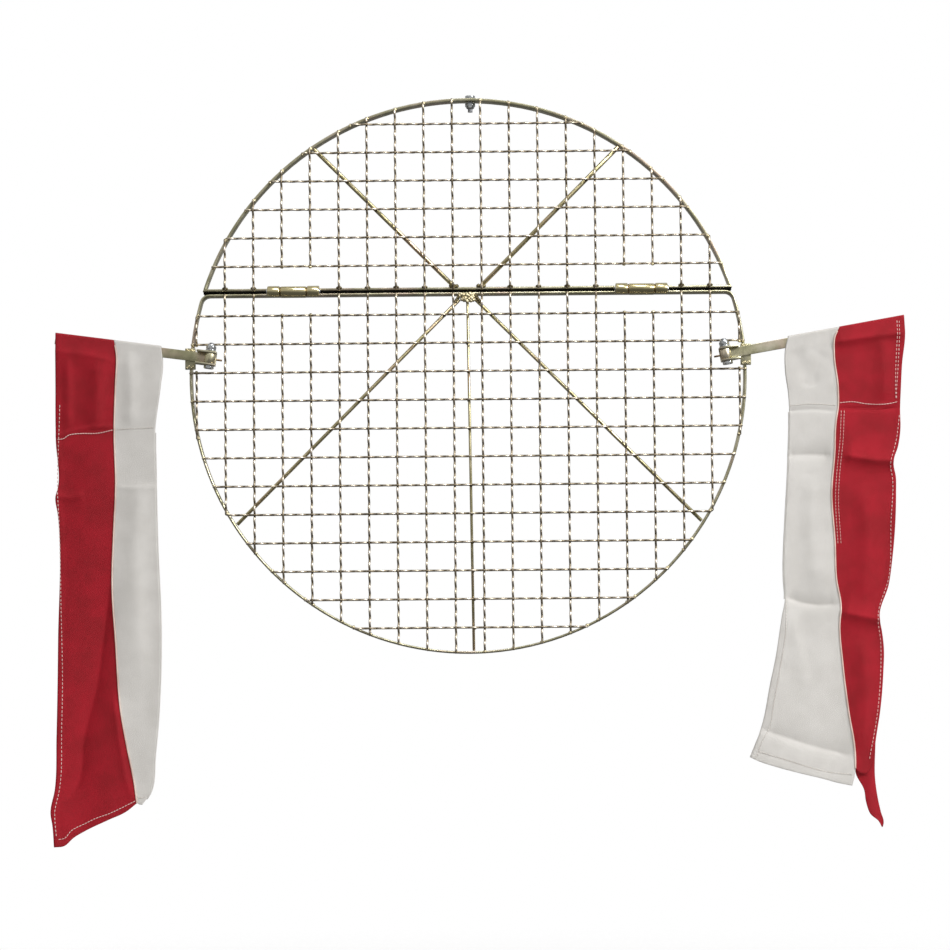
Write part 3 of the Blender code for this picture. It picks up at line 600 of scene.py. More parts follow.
# %% Corner beads and the finished piece
for side in ("left", "right"):
    low, high = [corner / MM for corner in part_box(side + "_foot_block")]
    for x in (low.x + 3.4, high.x - 3.4):
        for z, slant in ((low.z + 2.6, 1), (high.z - 2.6, -1)):
            for step in (-1, 0, 1):
                lump(BEADS["main"], (x + step * 1.3, low.y - 0.2, z + step * slant), (1.4, 0.9, 1.0), 0.7 * slant,
                     CLEAN, 0.4)
rod_end = abs(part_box("flap_brace_right")[0].x / MM)
for side in (-1, 1):
    for step in range(3):
        lump(BEADS["flap"], (side * (rod_end - 2 + 3.0 * step), DEPTH["rod end"], FLAP_BAR_TOP + 1.2),
             (2.8, 2.2, 2.4), 0, SCORCHED_AND_SHADE, 0.4)
for panel, heap in BEADS.items():
    heap.piece(panel + "_weld_beads", panel, "chromate_steel", [WELD, BURNT_AND_SHADE])

# %% [markdown]
# ## The black line between the two bars
# The two chord bars face each other across a narrow slit, which is black with shade. A thin black strip on the main
# bar closes most of it and paints that shadow. Its rounded section is drawn once, as (depth, height), and repeated
# along the bar.

# %% Strip in the slit
STRIP_SECTION = [(-18.9, 0.2), (-19.4, 0.6), (-19.4, 1.9), (-18.9, 2.3), (-1.6, 2.3), (-1.1, 1.9), (-1.1, 0.6),
                 (-1.6, 0.2)]
heap = Heap()
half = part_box("flap_chord_bar")[1].x / MM - 1.0
heap.rings([[(x, y, CHORD["main"] + z) for y, z in STRIP_SECTION] for x in np.linspace(-half, half, 30)])
heap.piece("main_slit_shadow_strip", "main", "chromate_steel", [SLIT_SHADOW])

# %% [markdown]
# ## The CAD metal keeps its shape
# The strips, rods, barrels and pins already have the right shape, so they stay and get a better finish. Their edges
# are razor sharp, and a real edge is not: a weld joins the split points and a small bevel catches the light.

# %% Soften the edges and give the finishes
def soften(node, finish, width):
    """Give a CAD piece its finish and round its edges by a width in mm."""
    made = NODES[node]
    made.data.polygons.foreach_set("use_smooth", [True] * len(made.data.polygons))
    join = made.modifiers.new("join split points", "WELD")
    join.merge_threshold = 0.00001
    edge = made.modifiers.new("soft edge", "BEVEL")
    edge.width, edge.segments, edge.limit_method = width * MM, 2, "ANGLE"
    edge.angle_limit, edge.harden_normals = math.radians(32), True
    made.data.materials.clear()
    made.data.materials.append(finish)


for node in NODES:
    if node.endswith(("frame", "flap_rim", "chord_bar")):
        soften(node, PLATE, 1.0)
    elif node.endswith(("gusset", "arm", "clevis", "foot_block")):
        soften(node, PLATE, 0.45)
    elif "brace" in node:
        soften(node, ROD, 0.25)
    elif "knuckle" in node:
        soften(node, GOLD, 1.2 if "outer" in node else 0.5)
    elif node.endswith("hinge_pin"):
        soften(node, ZINC, 0.4)
    elif "hinge_washer" in node:
        soften(node, BRASS, 0.15)
    elif node.endswith("lug_pin"):
        soften(node, PIN, 0.5)
print("softened", sum(bool(made.modifiers) for made in NODES.values()), "CAD pieces")

# %% [markdown]
# ## Fasteners
# A bolt, a washer and a nut hold each arm, and another set is at the top of the rim. They are small but bright, so
# they get their real form: hexagons with turned corners, a rounded collar, a nylon ring and a thread. Each is built
# about the CAD piece's own axis, from the length and radius measured along it.

# %% Measure along an axis
def measure(node, origin, axis):
    """Least and greatest place along the axis, and the greatest distance from it, in mm."""
    alongs, outs = [], []
    for vertex in NODES[node].data.vertices:
        arm = vertex.co - origin
        along = arm.dot(axis)
        alongs.append(along / MM)
        outs.append((arm - axis * along).length / MM)
    return min(alongs), max(alongs), max(outs)


def turned(heap, origin, axis, profile, sides, finish=0, hexagon=None):
    """A form turned about an axis from (radius, place) pairs. hexagon is how far out its six flats are."""
    side = axis.cross(BACKWARD).normalized()
    up = axis.cross(side)
    rings = []
    for radius, place in profile:
        ring = []
        for step in range(sides):
            angle = 2 * math.pi * step / sides
            from_flat = (angle % (math.pi / 3)) - math.pi / 6
            reach = min(radius, hexagon / math.cos(from_flat)) if hexagon else radius
            ring.append(origin / MM + axis * place + (side * math.cos(angle) + up * math.sin(angle)) * reach)
        rings.append(ring)
    heap.rings(rings, finish)


# %% Bolt, washer and lock nut
THREAD_CREST, THREAD_ROOT, THREAD_PITCH = 2.95, 2.45, 1.0
HEAD_HEIGHT = 4.0
WASHER_BORE = 3.1
COLLAR_SHARE = 0.32  # how much of a lock nut's height is its rounded collar


def hexagon_profile(radius, start, end):
    """A hexagon's corners are turned off at both ends: the radius grows from the flats to the corners."""
    flat = radius * math.cos(math.pi / 6)
    steps = [(flat * 0.96, 0.0), (flat, 0.12), (flat + (radius - flat) * 0.5, 0.30), (radius, 0.62)]
    return flat, [(r, start + d) for r, d in steps] + [(r, end - d) for r, d in reversed(steps)]


def fasten(prefix, body, origin, axis):
    """Rebuild prefix_bolt, prefix_washer and prefix_nut about one axis."""
    bolt_low, bolt_high, bolt_out = measure(prefix + "_bolt", origin, axis)
    nut_low, nut_high, nut_out = measure(prefix + "_nut", origin, axis)
    wash_low, wash_high, wash_out = measure(prefix + "_washer", origin, axis)
    nut_above = (nut_low + nut_high) > (bolt_low + bolt_high)
    print(prefix, "bolt, mm:", round(bolt_high - bolt_low, 1), "long,", round(2 * bolt_out, 1), "across its corners")
    heap = Heap()
    low, high = (bolt_low, bolt_low + HEAD_HEIGHT) if nut_above else (bolt_high - HEAD_HEIGHT, bolt_high)
    flat, profile = hexagon_profile(bolt_out, low, high)
    turned(heap, origin, axis, [(0.01, low + 0.25), (flat * 0.9, low + 0.25), *profile, (0.01, high)], 48, 0, flat)
    shank = []
    first, last = (high, bolt_high) if nut_above else (bolt_low, low)
    place = first
    while place < last - 0.6:
        shank += [(THREAD_CREST, place), (THREAD_ROOT, place + THREAD_PITCH / 2)]
        place += THREAD_PITCH
    turned(heap, origin, axis, [*shank, (2.3, last - 0.2), (1.8, last)], 24, 1)
    heap.piece(prefix + "_bolt_detail", body, "zinc_steel", [ZINC, THREADED], [prefix + "_bolt"])

    heap = Heap()
    ring = [(WASHER_BORE, wash_low), (wash_out - 0.15, wash_low), (wash_out, wash_low + 0.2),
            (wash_out, wash_high - 0.2), (wash_out - 0.15, wash_high), (WASHER_BORE, wash_high)]
    turned(heap, origin, axis, ring, 36)
    heap.piece(prefix + "_washer_detail", body, "zinc_steel", [ZINC], [prefix + "_washer"])

    heap = Heap()
    base, top = (nut_low, nut_high) if nut_above else (nut_high, nut_low)
    collar = top - (1 if nut_above else -1) * (nut_high - nut_low) * COLLAR_SHARE
    flat, profile = hexagon_profile(nut_out, min(base, collar), max(base, collar))
    turned(heap, origin, axis, [(2.9, profile[0][1]), *profile, (2.9, profile[-1][1])], 48, 0, flat)
    crown = [(flat * 0.95, 0.0), (flat * 0.93, 0.35), (flat * 0.86, 0.7), (flat * 0.76, 0.92), (flat * 0.66, 1.0)]
    lid = [(flat * 0.66, 0.96), (flat * 0.60, 1.0), (2.75, 0.97), (2.7, 0.6)]
    for finish, profile in enumerate((crown, lid)):
        turned(heap, origin, axis, [(r, collar + (top - collar) * t) for r, t in profile], 36, finish)
    heap.piece(prefix + "_nut_detail", body, "zinc_steel", [ZINC, NYLON], [prefix + "_nut"])


for side in ("left", "right"):
    swing = JOINTS[side + "_arm_swing"]
    axis = Vector(swing["axis"]).normalized()
    fasten(side + "_pivot", "main", Vector(swing["pos_m"]), axis if axis.z > 0 else -axis)
low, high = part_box("hanging_bolt")
fasten("hanging", "flap", (low + high) / 2, Vector((0, 0, 1)))

# %% [markdown]
# ## A smooth line through a few points
# A hanging flag is drawn by its edges, its seam and its creases. Each is a guide: a few points in the flag's plane,
# as (x, z) in millimetres, with a smooth curve through them that can be read at any share of its length. A Bezier
# object could do the same, but here the cloth also has to ask how far each of its points is from every crease.

# %% Guides
class Guide:
    """Called with shares from 0 to 1, it gives the points there."""

    def __init__(self, *points):
        self.points = np.array(points, float)
        steps = np.linalg.norm(np.diff(self.points, axis=0), axis=1)
        self.reach = np.concatenate([[0.0], np.cumsum(steps)])
        self.length = self.reach[-1]
        self.slopes = np.gradient(self.points, self.reach, axis=0)

    def __call__(self, share):
        place = np.clip(np.asarray(share, float), 0, 1) * self.length
        index = np.clip(np.searchsorted(self.reach, place) - 1, 0, len(self.points) - 2)
        span = self.reach[index + 1] - self.reach[index]
        t = ((place - self.reach[index]) / span)[..., None]
        span = span[..., None]
        start, end = self.points[index], self.points[index + 1]
        leave, arrive = self.slopes[index] * span, self.slopes[index + 1] * span
        return ((2 * t**3 - 3 * t**2 + 1) * start + (t**3 - 2 * t**2 + t) * leave
                + (3 * t**2 - 2 * t**3) * end + (t**3 - t**2) * arrive)

    def near(self, x, z):
        """Signed distance from each point to the line, and the share of the length where it is nearest."""
        line = self(np.linspace(0, 1, 40))
        best = np.full(np.shape(x), 1e9)
        signed, share = np.zeros(np.shape(x)), np.zeros(np.shape(x))
        for index in range(len(line) - 1):
            (ax, az), (bx, bz) = line[index], line[index + 1]
            dx, dz = bx - ax, bz - az
            t = np.clip(((x - ax) * dx + (z - az) * dz) / (dx * dx + dz * dz + 1e-9), 0, 1)
            gap = np.hypot(x - ax - t * dx, z - az - t * dz)
            closer = gap < best
            side = np.sign(dx * (z - az) - dz * (x - ax))
            best = np.where(closer, gap, best)
            signed = np.where(closer, side * gap, signed)
            share = np.where(closer, (index + t) / (len(line) - 1), share)
        return signed, share


print("halfway down a straight guide:", Guide((0, 0), (0, -100))(0.5))


# %% Folds and creases
def fold_line(points, height, left_width, right_width):
    """A soft fold. Height is towards the viewer, and each side of the line has its own width."""
    return Guide(*points), height, left_width, right_width, 1.8


def crease(points, height, left_width, right_width):
    """A fold with a sharp line along its top."""
    return Guide(*points), height, left_width, right_width, 1.1


# %% [markdown]
# ## How a flag hangs
# The cloth is a red half and a white half, seamed together. The top is turned over the arm and stitched to the back
# as a sleeve, and the rest hangs in soft folds. The flat cloth is laid out between its guides, and then every fold
# moves it a few millimetres to the front or the back. A cloth simulation would lose the real flag's folds, so the
# folds are placed one by one.

# %% The surface of a flag
BEYOND_RIM = 0.33  # metres from the middle, where only the arm's straight bar is left
TOP_ABOVE_ARM = 2.0  # all the other lengths are in mm
BODY_LIFT, SLEEVE_LIFT = 0.8, 1.9  # how far the front lies before the arm's middle, and how much more on the sleeve
SLEEVE_BLEND = 40.0  # the sleeve swells to its full depth over this height
FOLD_STRENGTH = 1.7
HEM_STEP = 0.45
ARM_FACE = 13.5  # height of the arm's front, with a little to spare
CLOTH_GAP = 0.55  # between the arm and the middle of the cloth's thickness


class Flag:
    """Depths of the cloth's front and back at any (x, z), from the arm, the folds, the hems and slow waves."""

    def __init__(self, side, stitch, folds, waves):
        self.side = side
        self.folds, self.hems, self.waves = folds, [], waves
        self.stitch = Guide(*stitch)
        slide = JOINTS[side + "_flag_slide"]["axis"]
        self.rise = slide[2] / slide[0]
        bar = [v.co / MM for v in NODES[side + "_arm"].data.vertices if abs(v.co.x) > BEYOND_RIM]
        self.arm_top = max(v.z - self.rise * v.x for v in bar)
        self.arm_front = min(v.y for v in bar)
        self.arm_back = max(v.y for v in bar)
        self.middle = (self.arm_front + self.arm_back) / 2

    def top(self, x):
        return self.rise * x + self.arm_top + TOP_ABOVE_ARM

    def stitch_height(self, x):
        order = np.argsort(self.stitch.points[:, 0])
        return np.interp(x, self.stitch.points[order, 0], self.stitch.points[order, 1])

    def sleeve(self, x, z):
        """0 at the sleeve's stitch and below it, 1 up by the arm."""
        t = np.clip((z - self.stitch_height(x)) / SLEEVE_BLEND, 0, 1)
        return t * t * (3 - 2 * t)

    def front(self, x, z):
        """Depth of the cloth's front face, in mm."""
        x, z = np.asarray(x, float), np.asarray(z, float)
        sleeve = self.sleeve(x, z)
        depth = self.middle - BODY_LIFT - SLEEVE_LIFT * sleeve
        below = np.clip((self.stitch_height(x) - z) / 60.0, 0, 1)
        for amount, wide, lean, phase in self.waves:
            depth = depth + amount * (0.35 + 0.65 * below) * np.sin(x / wide + z / lean + phase)
        for guide, height, left_width, right_width, sharp in self.folds:
            signed, share = guide.near(x, z)
            width = np.where(signed > 0, left_width, right_width)
            taper = np.clip(np.minimum(share, 1 - share) * 7.0, 0, 1)
            reach = np.exp(-(np.abs(signed) / width) ** sharp)
            depth = depth - FOLD_STRENGTH * height * reach * (0.15 + 0.85 * taper)
        for guide, wide in self.hems:
            gap = np.abs(guide.near(x, z)[0])
            depth = depth - HEM_STEP / (1 + np.exp(np.minimum((gap - wide) * 3.0, 60.0)))
        over_arm = z > self.rise * x + self.arm_top - ARM_FACE
        depth = np.where(over_arm, np.minimum(depth, self.arm_front - CLOTH_GAP), depth)
        return np.where(sleeve > 0.02, np.minimum(depth, self.middle - 0.5), depth)

    def back(self, x, z):
        """Depth of the sleeve's back layer, which lies against the front one at its stitch."""
        return self.middle + 0.45 + (self.arm_back + CLOTH_GAP - self.middle - 0.45) * self.sleeve(x, z)


# %% Lay a panel of cloth between its guides
def laid(left, right, top, bottom, u, v):
    """Points inside four guides that meet at their ends."""
    u, v = u[..., None], v[..., None]
    sides = (1 - u) * left(v[..., 0]) + u * right(v[..., 0])
    ends = (1 - v) * top(u[..., 0]) + v * bottom(u[..., 0])
    corners = (1 - v) * ((1 - u) * top(0.0) + u * top(1.0)) + v * ((1 - u) * bottom(0.0) + u * bottom(1.0))
    return sides + ends - corners


TURN_OVER = 2.4  # height of the cloth's turn over the arm, in mm


def panel_of_cloth(heap, flag, left, right, bottom, sleeve_share, across, down):
    """One panel: up the back of the sleeve, over the arm and down the front."""
    top = Guide(left.points[0], (left.points[0] + right.points[0]) / 2, right.points[0])
    length = (left.length + right.length) / 2
    turn = [TURN_OVER / length * (1 - math.cos(angle)) for angle in np.linspace(0, math.pi / 2, 6)]
    shares = [(share, "back") for share in np.linspace(sleeve_share, turn[-1] * 1.5, 34)]
    shares += [(share, "back") for share in reversed(turn[1:])] + [(share, "front") for share in turn]
    shares += [(share, "front") for share in np.linspace(turn[-1] * 1.5, 1.0, down)]
    share = np.array([share for share, face in shares])
    behind = np.array([face == "back" for share, face in shares])[:, None]
    u, v = np.meshgrid(np.linspace(0, 1, across), share)
    points = laid(left, right, top, bottom, u, v)
    x, z = points[..., 0], points[..., 1]
    depth = np.where(behind, flag.back(x, z), flag.front(x, z))
    drop = np.minimum(1.0, v / turn[-1])
    depth = flag.middle + (depth - flag.middle) * np.sqrt(np.maximum(0.0, 1 - (1 - drop) ** 2))
    heap.rings([list(zip(*row)) for row in zip(x, depth, z)], closed=False, caps=False)


# %% [markdown]
# ## Stitches, piping and a turned-back edge
# Thread is real geometry here, because it casts the small shadows that make cloth read as sewn. Each stitch is a
# short tapered bar laid on the cloth along a guide. The seam between the two halves holds a pale piping, painted pink
# for the red half's light that shines through it, and the white half's inner edge is folded round to the back.

# %% Sewing
THREAD_LIFT = 0.50


def stitches(heap, flag, guide, pitch=4.6, bar=3.1, radius=0.50):
    """A dashed line of thread on the front of the cloth."""
    starts = np.arange(int(guide.length / pitch)) * pitch
    ends = guide(np.stack([starts, starts + bar], axis=1) / guide.length)
    share = np.array([0.0, 0.25, 0.75, 1.0])[:, None]
    swell = np.array([0.35, 1.0, 1.0, 0.35])
    points = ends[:, :1] + share * (ends[:, 1:] - ends[:, :1])
    depth = flag.front(points[..., 0], points[..., 1]) - THREAD_LIFT * swell
    for dash, deep in zip(points, depth):
        tube(heap, [(x, y, z) for (x, z), y in zip(dash, deep)], list(radius * swell), 5)


def sewn(flag, kind, finish, *lines):
    """One thread's lines on a flag as one piece. Each line is a guide and what is special about its stitches."""
    heap = Heap()
    for guide, special in lines:
        stitches(heap, flag, guide, **special)
    return heap.piece(f"{flag.side}_flag_{kind}", flag.side + "_flag", "flag_cloth", [finish])


def piped(flag, guide, radius=0.85, lift=0.75):
    """A covered cord laid along the seam, from just below the sleeve's top."""
    points = guide(np.linspace(0.012, 1.0, 260))
    depth = flag.front(points[:, 0], points[:, 1]) - lift
    heap = Heap()
    tube(heap, [(x, y, z) for (x, z), y in zip(points, depth)], radius, 8)
    return heap.piece(flag.side + "_flag_piping", flag.side + "_flag", "flag_cloth", [PIPING_WITH_RED_GLOW])


def turned_back(heap, flag, edge, toward, start, end, width):
    """Cloth folded round the edge to the back, from a start to an end share of the edge."""
    share = np.linspace(start, end, 150)
    x, z = edge(share).T
    y = flag.front(x, z)
    grow = np.minimum(1.0, np.minimum((share - start) * 14.0 + 0.15, (end - share) * 22.0 + 0.25))
    columns = [(x, y)]
    for angle in np.radians((45, 90, 135, 180)):
        columns.append((x - toward * math.sin(angle), y + 1 - math.cos(angle)))
    for step in range(1, 15):
        px = x + toward * width * grow * step / 14
        columns.append((px, np.maximum(flag.front(px, z) + 2.0, flag.middle + 1.6) + 0.4 * math.sin(step * 0.9)))
    rows = [[(px[i], py[i], z[i]) for px, py in columns] for i in range(len(share))]
    heap.rings(rows, closed=False, caps=False)


# %% [markdown]
# ## The left flag
# It hangs almost flat. The red half is outside, and its lower corner swings in front of the white half. The inner
# edge of the white half is folded to the back over its whole length.

# %% Left flag: guides
left = Flag("left",
            stitch=[(-484, -73), (-470, -71), (-455, -66), (-430, -65), (-412, -61), (-385, -60), (-350, -60)],
            folds=[crease([(-484, 31), (-448, 27), (-411, 18)], 2.2, 7, 16),
                   fold_line([(-466, 22), (-465, 0), (-466, -60)], 1.3, 5, 7),
                   fold_line([(-432, 20), (-431, 0), (-433, -60)], 1.7, 9, 10),
                   crease([(-484, -136), (-468, -139), (-446, -136)], 1.6, 3, 6),
                   crease([(-416, -235), (-425, -299), (-433, -357), (-448, -417), (-457, -475), (-478, -502)],
                          -3.2, 9, 16),
                   crease([(-414, -370), (-408, -413), (-398, -470), (-391, -492)], 1.6, 4, 6),
                   crease([(-411, -128), (-385, -129), (-358, -128)], 1.0, 3, 8),
                   fold_line([(-395, 30), (-392, -20), (-394, -58)], 1.4, 9, 9),
                   fold_line([(-384, -120), (-388, -240), (-381, -360)], 1.5, 12, 14),
                   fold_line([(-484, -70), (-448, -60), (-410, -57)], 0.9, 2.5, 2)],
            waves=[(0.8, 16.0, 240.0, 0.4), (0.5, 9.0, -90.0, 1.9)])
outer = Guide((-480, left.top(-480)), (-480, 30), (-480, -12), (-480, -72), (-478, -129), (-480.5, -139),
              (-478, -159), (-478, -309), (-480, -417), (-482, -477), (-487, -506), (-485, -518), (-483, -544))
seam = Guide((-412, left.top(-412)), (-409, 27), (-410, -7), (-412, -61), (-410.5, -127), (-413, -182),
             (-415, -248), (-411, -309), (-405, -390), (-398, -430), (-390, -471), (-387, -494))
inner = Guide((-357, left.top(-357)), (-355, 15), (-358, -12), (-364, -59), (-364, -109), (-362.5, -194),
              (-359, -290), (-360, -357), (-366, -437), (-373, -485), (-381, -496))
red_foot = Guide((-483, -544), (-472, -543), (-460, -533), (-447, -525.5), (-420, -513), (-400, -504), (-387, -494))
white_foot = Guide((-387, -494), (-384, -495.5), (-381, -496))
left.hems = [(outer, 5.5), (red_foot, 8.0)]
print("left flag falls", round(left.top(-480) + 544), "mm")

# %% Left flag: cloth
heap = Heap()
panel_of_cloth(heap, left, outer, seam, red_foot, 0.19, 44, 270)
left_red = heap.piece("left_flag_red", "left_flag", "flag_cloth", [RED], ["left_flag"], thick=0.5)
heap = Heap()
panel_of_cloth(heap, left, seam, inner, white_foot, 0.17, 30, 250)
turned_back(heap, left, inner, -1, 0.19, 0.985, 52)
left_white = heap.piece("left_flag_white", "left_flag", "flag_cloth", [WHITE], ["left_flag"], merge=0.01, thick=0.5)

# %% Left flag: sewing
dashes = Guide((-475, -32), (-478, -134), (-476, -182), (-474.5, -265), (-473, -357), (-474, -403), (-478, -484),
               (-481.6, -499), (-480, -536))
hem = Guide((-478, -535), (-471.5, -534), (-463, -525), (-447, -517), (-437, -512), (-420, -506), (-388, -491))
sleeve_line = Guide((-478, -72), (-471, -71), (-465, -67), (-455, -65.5), (-430, -65), (-412, -61))
left_thread = sewn(left, "red_thread", RED_THREAD, (dashes, {}), (hem, {"pitch": 3.6}),
                   (sleeve_line, {"pitch": 3.0, "bar": 2.9, "radius": 0.65}))
sleeve_line = Guide((-411, -61), (-390, -60), (-366, -59))
hem = Guide((-386, -487), (-380, -488), (-376, -485))
left_pale = sewn(left, "pale_thread", PALE_THREAD, (sleeve_line, {"pitch": 3.0, "bar": 2.6}), (hem, {"pitch": 3.0}))
left_piping = piped(left, seam)

# %% [markdown]
# ## The right flag
# It is more crumpled. Two deep creases cross the red half, the inner edge of the white half opens out below the
# middle, and the lowest corner of the red half hangs behind the front as a narrow tail. A piece of cloth that is
# mostly guides and folds is easy to adjust: move one point, and the whole surface follows.

# %% Right flag: guides
right = Flag("right",
             stitch=[(365, -44), (380, -42), (400, -41), (430, -42), (432, -38), (463, -38.6), (512, -37)],
             folds=[crease([(422, 32), (460, 38), (512, 44)], 3.4, 15, 6),
                    crease([(434, -98), (450, -101), (470, -104), (500, -106)], 4.6, 13, 7),
                    crease([(429, -280), (450, -285), (482, -291)], 4.4, 14, 7),
                    crease([(368, -98), (395, -97), (421, -99)], -2.0, 8, 5),
                    crease([(365, -262), (386, -269), (404, -272), (428, -271)], -2.8, 10, 4),
                    crease([(331, -413), (376, -429), (399, -436), (443, -447)], -2.6, 11, 5),
                    fold_line([(368, -276), (378, -317), (388, -370)], 1.0, 9, 12),
                    fold_line([(380, 26), (389, 6), (397, -20)], -0.8, 10, 10),
                    fold_line([(416, 24), (405, 4), (398, -20)], -0.7, 10, 10),
                    fold_line([(400, -120), (396, -180), (402, -250)], 1.7, 14, 12),
                    fold_line([(456, -130), (462, -200), (456, -268)], 2.4, 13, 13),
                    fold_line([(452, -310), (458, -370), (452, -440)], 2.2, 10, 12),
                    fold_line([(480, 40), (484, -10), (482, -36)], 1.5, 10, 9),
                    fold_line([(430, -43), (463, -44), (503, -43)], -1.0, 1.6, 2.5),
                    fold_line([(366, -46), (398, -44), (428, -46)], -0.9, 1.6, 2.5)],
             waves=[(0.9, 15.0, 210.0, 1.1), (0.5, 8.0, -80.0, 0.2)])
inner = Guide((373, right.top(373)), (370, 30), (369, 0), (372, -24), (373, -45), (372, -88), (370, -127),
              (367, -170), (364, -240), (365, -264), (361, -285), (353, -333), (347, -360), (335, -415), (322, -447))
seam = Guide((433, right.top(433)), (427, 40), (426, 20), (430, -19), (430, -41), (427, -60), (425, -96),
             (421, -140), (424, -199), (425, -240), (430, -277), (428.5, -290), (431, -339), (437, -394), (444, -446),
             (444, -461))
outer = Guide((508, right.top(508)), (508.5, 37), (505, 9), (503, -24), (502, -46), (502, -69), (499, -88),
              (493, -106), (496, -124), (496, -143), (491, -215), (486, -248), (474, -288), (477, -303), (479, -322),
              (478, -350), (474, -392), (468, -428), (465, -449))
white_seam = Guide(*seam.points[:-1], (443, -470), (440, -481))
white_foot = Guide((322, -447), (330, -451), (350, -458), (379, -466), (407, -473), (425, -478), (440, -481))
red_foot = Guide((444, -461), (449, -466), (456.5, -467), (461, -460), (465, -449))
opened = Guide((366.5, -265), (365, -306), (359, -341), (350, -388), (345, -414), (337, -428), (330, -447))
right.hems = [(outer, 5.5), (opened, 3.5), (white_foot, 8.0)]
print("right flag falls", round(right.top(508) + 528), "mm")

# %% Right flag: cloth
heap = Heap()
panel_of_cloth(heap, right, seam, outer, red_foot, 0.205, 42, 260)
tail_inner = Guide((444, -440), (445, -468), (454, -486), (456, -500), (461, -514), (470, -522), (474, -529))
tail_outer = Guide((468, -425), (467, -476), (470, -497), (473, -511), (476, -524), (475, -528), (474.5, -529))
rows = []
for share in np.linspace(0, 1, 60):
    row = []
    for u in np.linspace(0, 1, 14):
        x, z = tail_inner(share) + u * (tail_outer(share) - tail_inner(share))
        row.append((x, right.middle + 1.0 + 1.3 * math.sin(u * 4.0 + share * 5.0), z))
    rows.append(row)
heap.rings(rows, closed=False, caps=False)
right_red = heap.piece("right_flag_red", "right_flag", "flag_cloth", [RED], ["right_flag"], thick=0.5)
heap = Heap()
panel_of_cloth(heap, right, inner, white_seam, white_foot, 0.165, 40, 260)
turned_back(heap, right, inner, 1, 0.18, 0.62, 42)
right_white = heap.piece("right_flag_white", "right_flag", "flag_cloth", [WHITE], ["right_flag"], merge=0.01,
                         thick=0.5)

# %% Right flag: sewing
double_row = [(Guide((502 - inset, 58), (502 - inset, 40), (500 - inset, 4), (498 - inset * 0.4, -24),
                     (498 - inset * 0.2, -36)), {}) for inset in (0.0, 2.6)]
dashes = Guide((501, -52), (497, -80), (494, -92), (489.5, -106), (492, -126), (489.5, -176), (486, -240),
               (472, -288), (475, -311), (475, -345), (471, -392), (460, -452))
sleeve_line = Guide((432, -37), (446, -36), (463, -38.6), (489, -38.6), (499, -36.5))
beside_seam = [(Guide((430 + inset, -46), (428 + inset, -80), (424 + inset, -115), (422 + inset, -140),
                      (424 + inset, -203)), {"pitch": 3.8, "radius": 0.34}) for inset in (3.5, 7.0)]
right_thread = sewn(right, "red_thread", RED_THREAD, *double_row, (dashes, {}), (sleeve_line, {"pitch": 3.2}),
                    *beside_seam)
hem = Guide((333, -441), (360, -449), (384, -457), (413, -465), (441, -468))
sleeve_line = Guide((373, -40), (398, -38), (428, -40))
right_pale = sewn(right, "pale_thread", PALE_THREAD, (hem, {"pitch": 3.6}), (sleeve_line, {"pitch": 3.2}),
                  (opened, {"pitch": 3.8}))
right_piping = piped(right, seam)

# %% [markdown]
# ## Floor, light and camera
# The grate is shown upright over a pale floor that fades into a white surround. The surround is white only where it
# is seen directly. What it sends to the metal is grey, and darker below, which gives the metal its contrast. A wide
# soft light above and to the right makes the right flag the brighter one.

# %% Floor
def floor_finish():
    finish = Finish("pale_floor")
    place = finish.place()
    distance = finish.node("ShaderNodeVectorMath", {"operation": "LENGTH"}, {0: place}, output=OUTPUT["length"])
    grain = finish.noise(place, 30.0, 4.0)
    tone = finish.mix(grain, (0.80, 0.80, 0.80), (0.84, 0.84, 0.83))
    return finish.surface(Base_Color=tone, Roughness=0.8, Emission_Color=tone, Emission_Strength=0.35,
                          Alpha=1 - finish.band(distance, 0.5, 2.0))


FLOOR_RADIUS = 2600
heap = Heap()
turns = np.linspace(0, 2 * math.pi, 65)[:-1]
heap.rings([[(FLOOR_RADIUS * r * math.cos(a), FLOOR_RADIUS * r * math.sin(a), 0) for a in turns]
            for r in (0.001, 0.3, 0.6, 1.0)], caps=False)
mesh = bpy.data.meshes.new("floor")
mesh.from_pydata([tuple(v * MM for v in point) for point in heap.points], [], heap.faces)
mesh.materials.append(floor_finish())
floor = bpy.data.objects.new("floor", mesh)
floor.location = (0, 0, -0.80)
bpy.context.scene.collection.objects.link(floor)
floor.visible_glossy = False
print("floor radius, mm:", FLOOR_RADIUS)

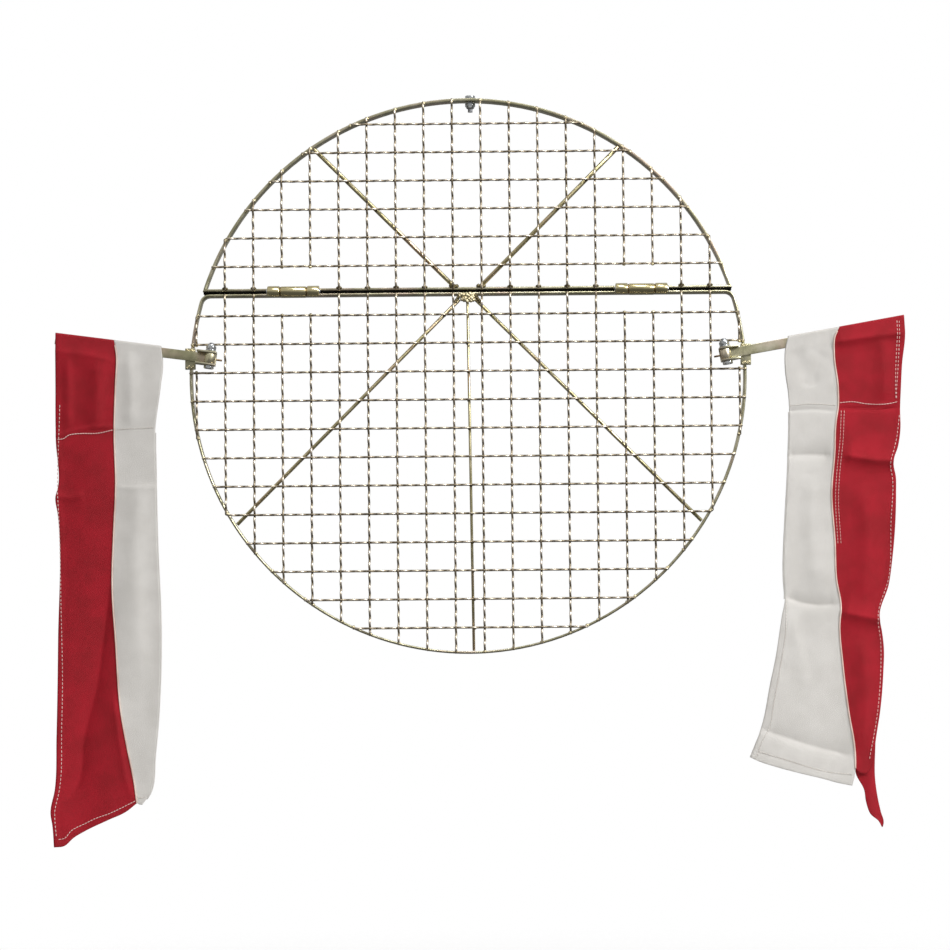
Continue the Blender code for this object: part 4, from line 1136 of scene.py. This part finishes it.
# %% Surround
world = bpy.data.worlds.new("soft_surround")
world.use_nodes = True
bpy.context.scene.world = world
sky = Finish("surround", world.node_tree)
height = sky.axis(sky.node("ShaderNodeTexCoord", output=OUTPUT["world direction"]), 2)
shade = sky.ramp(sky.band(height, -1.0, 1.0), (0.0, (0.09, 0.09, 0.09)), (0.40, (0.14, 0.14, 0.14)),
                 (0.54, (0.36, 0.355, 0.35)), (1.0, (0.50, 0.495, 0.485)))
seen = sky.node("ShaderNodeLightPath", output=OUTPUT["seen by the camera"])
colour = sky.mix(seen, shade, (1.0, 1.0, 1.0))
glow = sky.node("ShaderNodeBackground", None, {"Color": colour, "Strength": 1.0})
end = sky.tree.nodes.new("ShaderNodeOutputWorld")
sky.tree.links.new(glow.socket, end.inputs["Surface"])
print("surround nodes:", len(sky.tree.nodes))


# %% Lights
def soft_light(name, place, aim, size, power, warmth=(1.0, 1.0, 1.0)):
    data = bpy.data.lights.new(name, "AREA")
    data.shape, data.size, data.energy, data.color = "SQUARE", size, power, warmth
    lamp = bpy.data.objects.new(name, data)
    lamp.location = place
    lamp.rotation_euler = (Vector(aim) - Vector(place)).to_track_quat("-Z", "Y").to_euler()
    bpy.context.scene.collection.objects.link(lamp)
    print("light", name, "of", power, "W")


soft_light("key_right", (2.3, -1.9, 1.7), (0.4, 0, -0.1), 0.9, 92)
soft_light("fill_left", (-2.6, -2.6, 0.6), (-0.2, 0, -0.1), 1.8, 2, (1.0, 0.86, 0.72))
soft_light("top", (0.3, -1.3, 2.1), (0, 0, 0), 0.9, 20)

# %% Camera
camera = bpy.data.objects.new("camera", bpy.data.cameras.new("camera"))
bpy.context.scene.collection.objects.link(camera)
bpy.context.scene.camera = camera
camera.data.sensor_width = 36.0
camera.data.lens = 129.7
camera.data.clip_end = 50.0
camera.location = (0.007, -4.0, -0.325)
look = Vector((0.007, -0.02, -0.117)) - camera.location
camera.rotation_mode = "QUATERNION"
camera.rotation_quaternion = look.to_track_quat("-Z", "Y") @ Quaternion((0, 0, 1), math.radians(-0.5))
bpy.context.scene.view_settings.view_transform = "Standard"
print("camera", round(look.length, 2), "m away, lens", camera.data.lens)
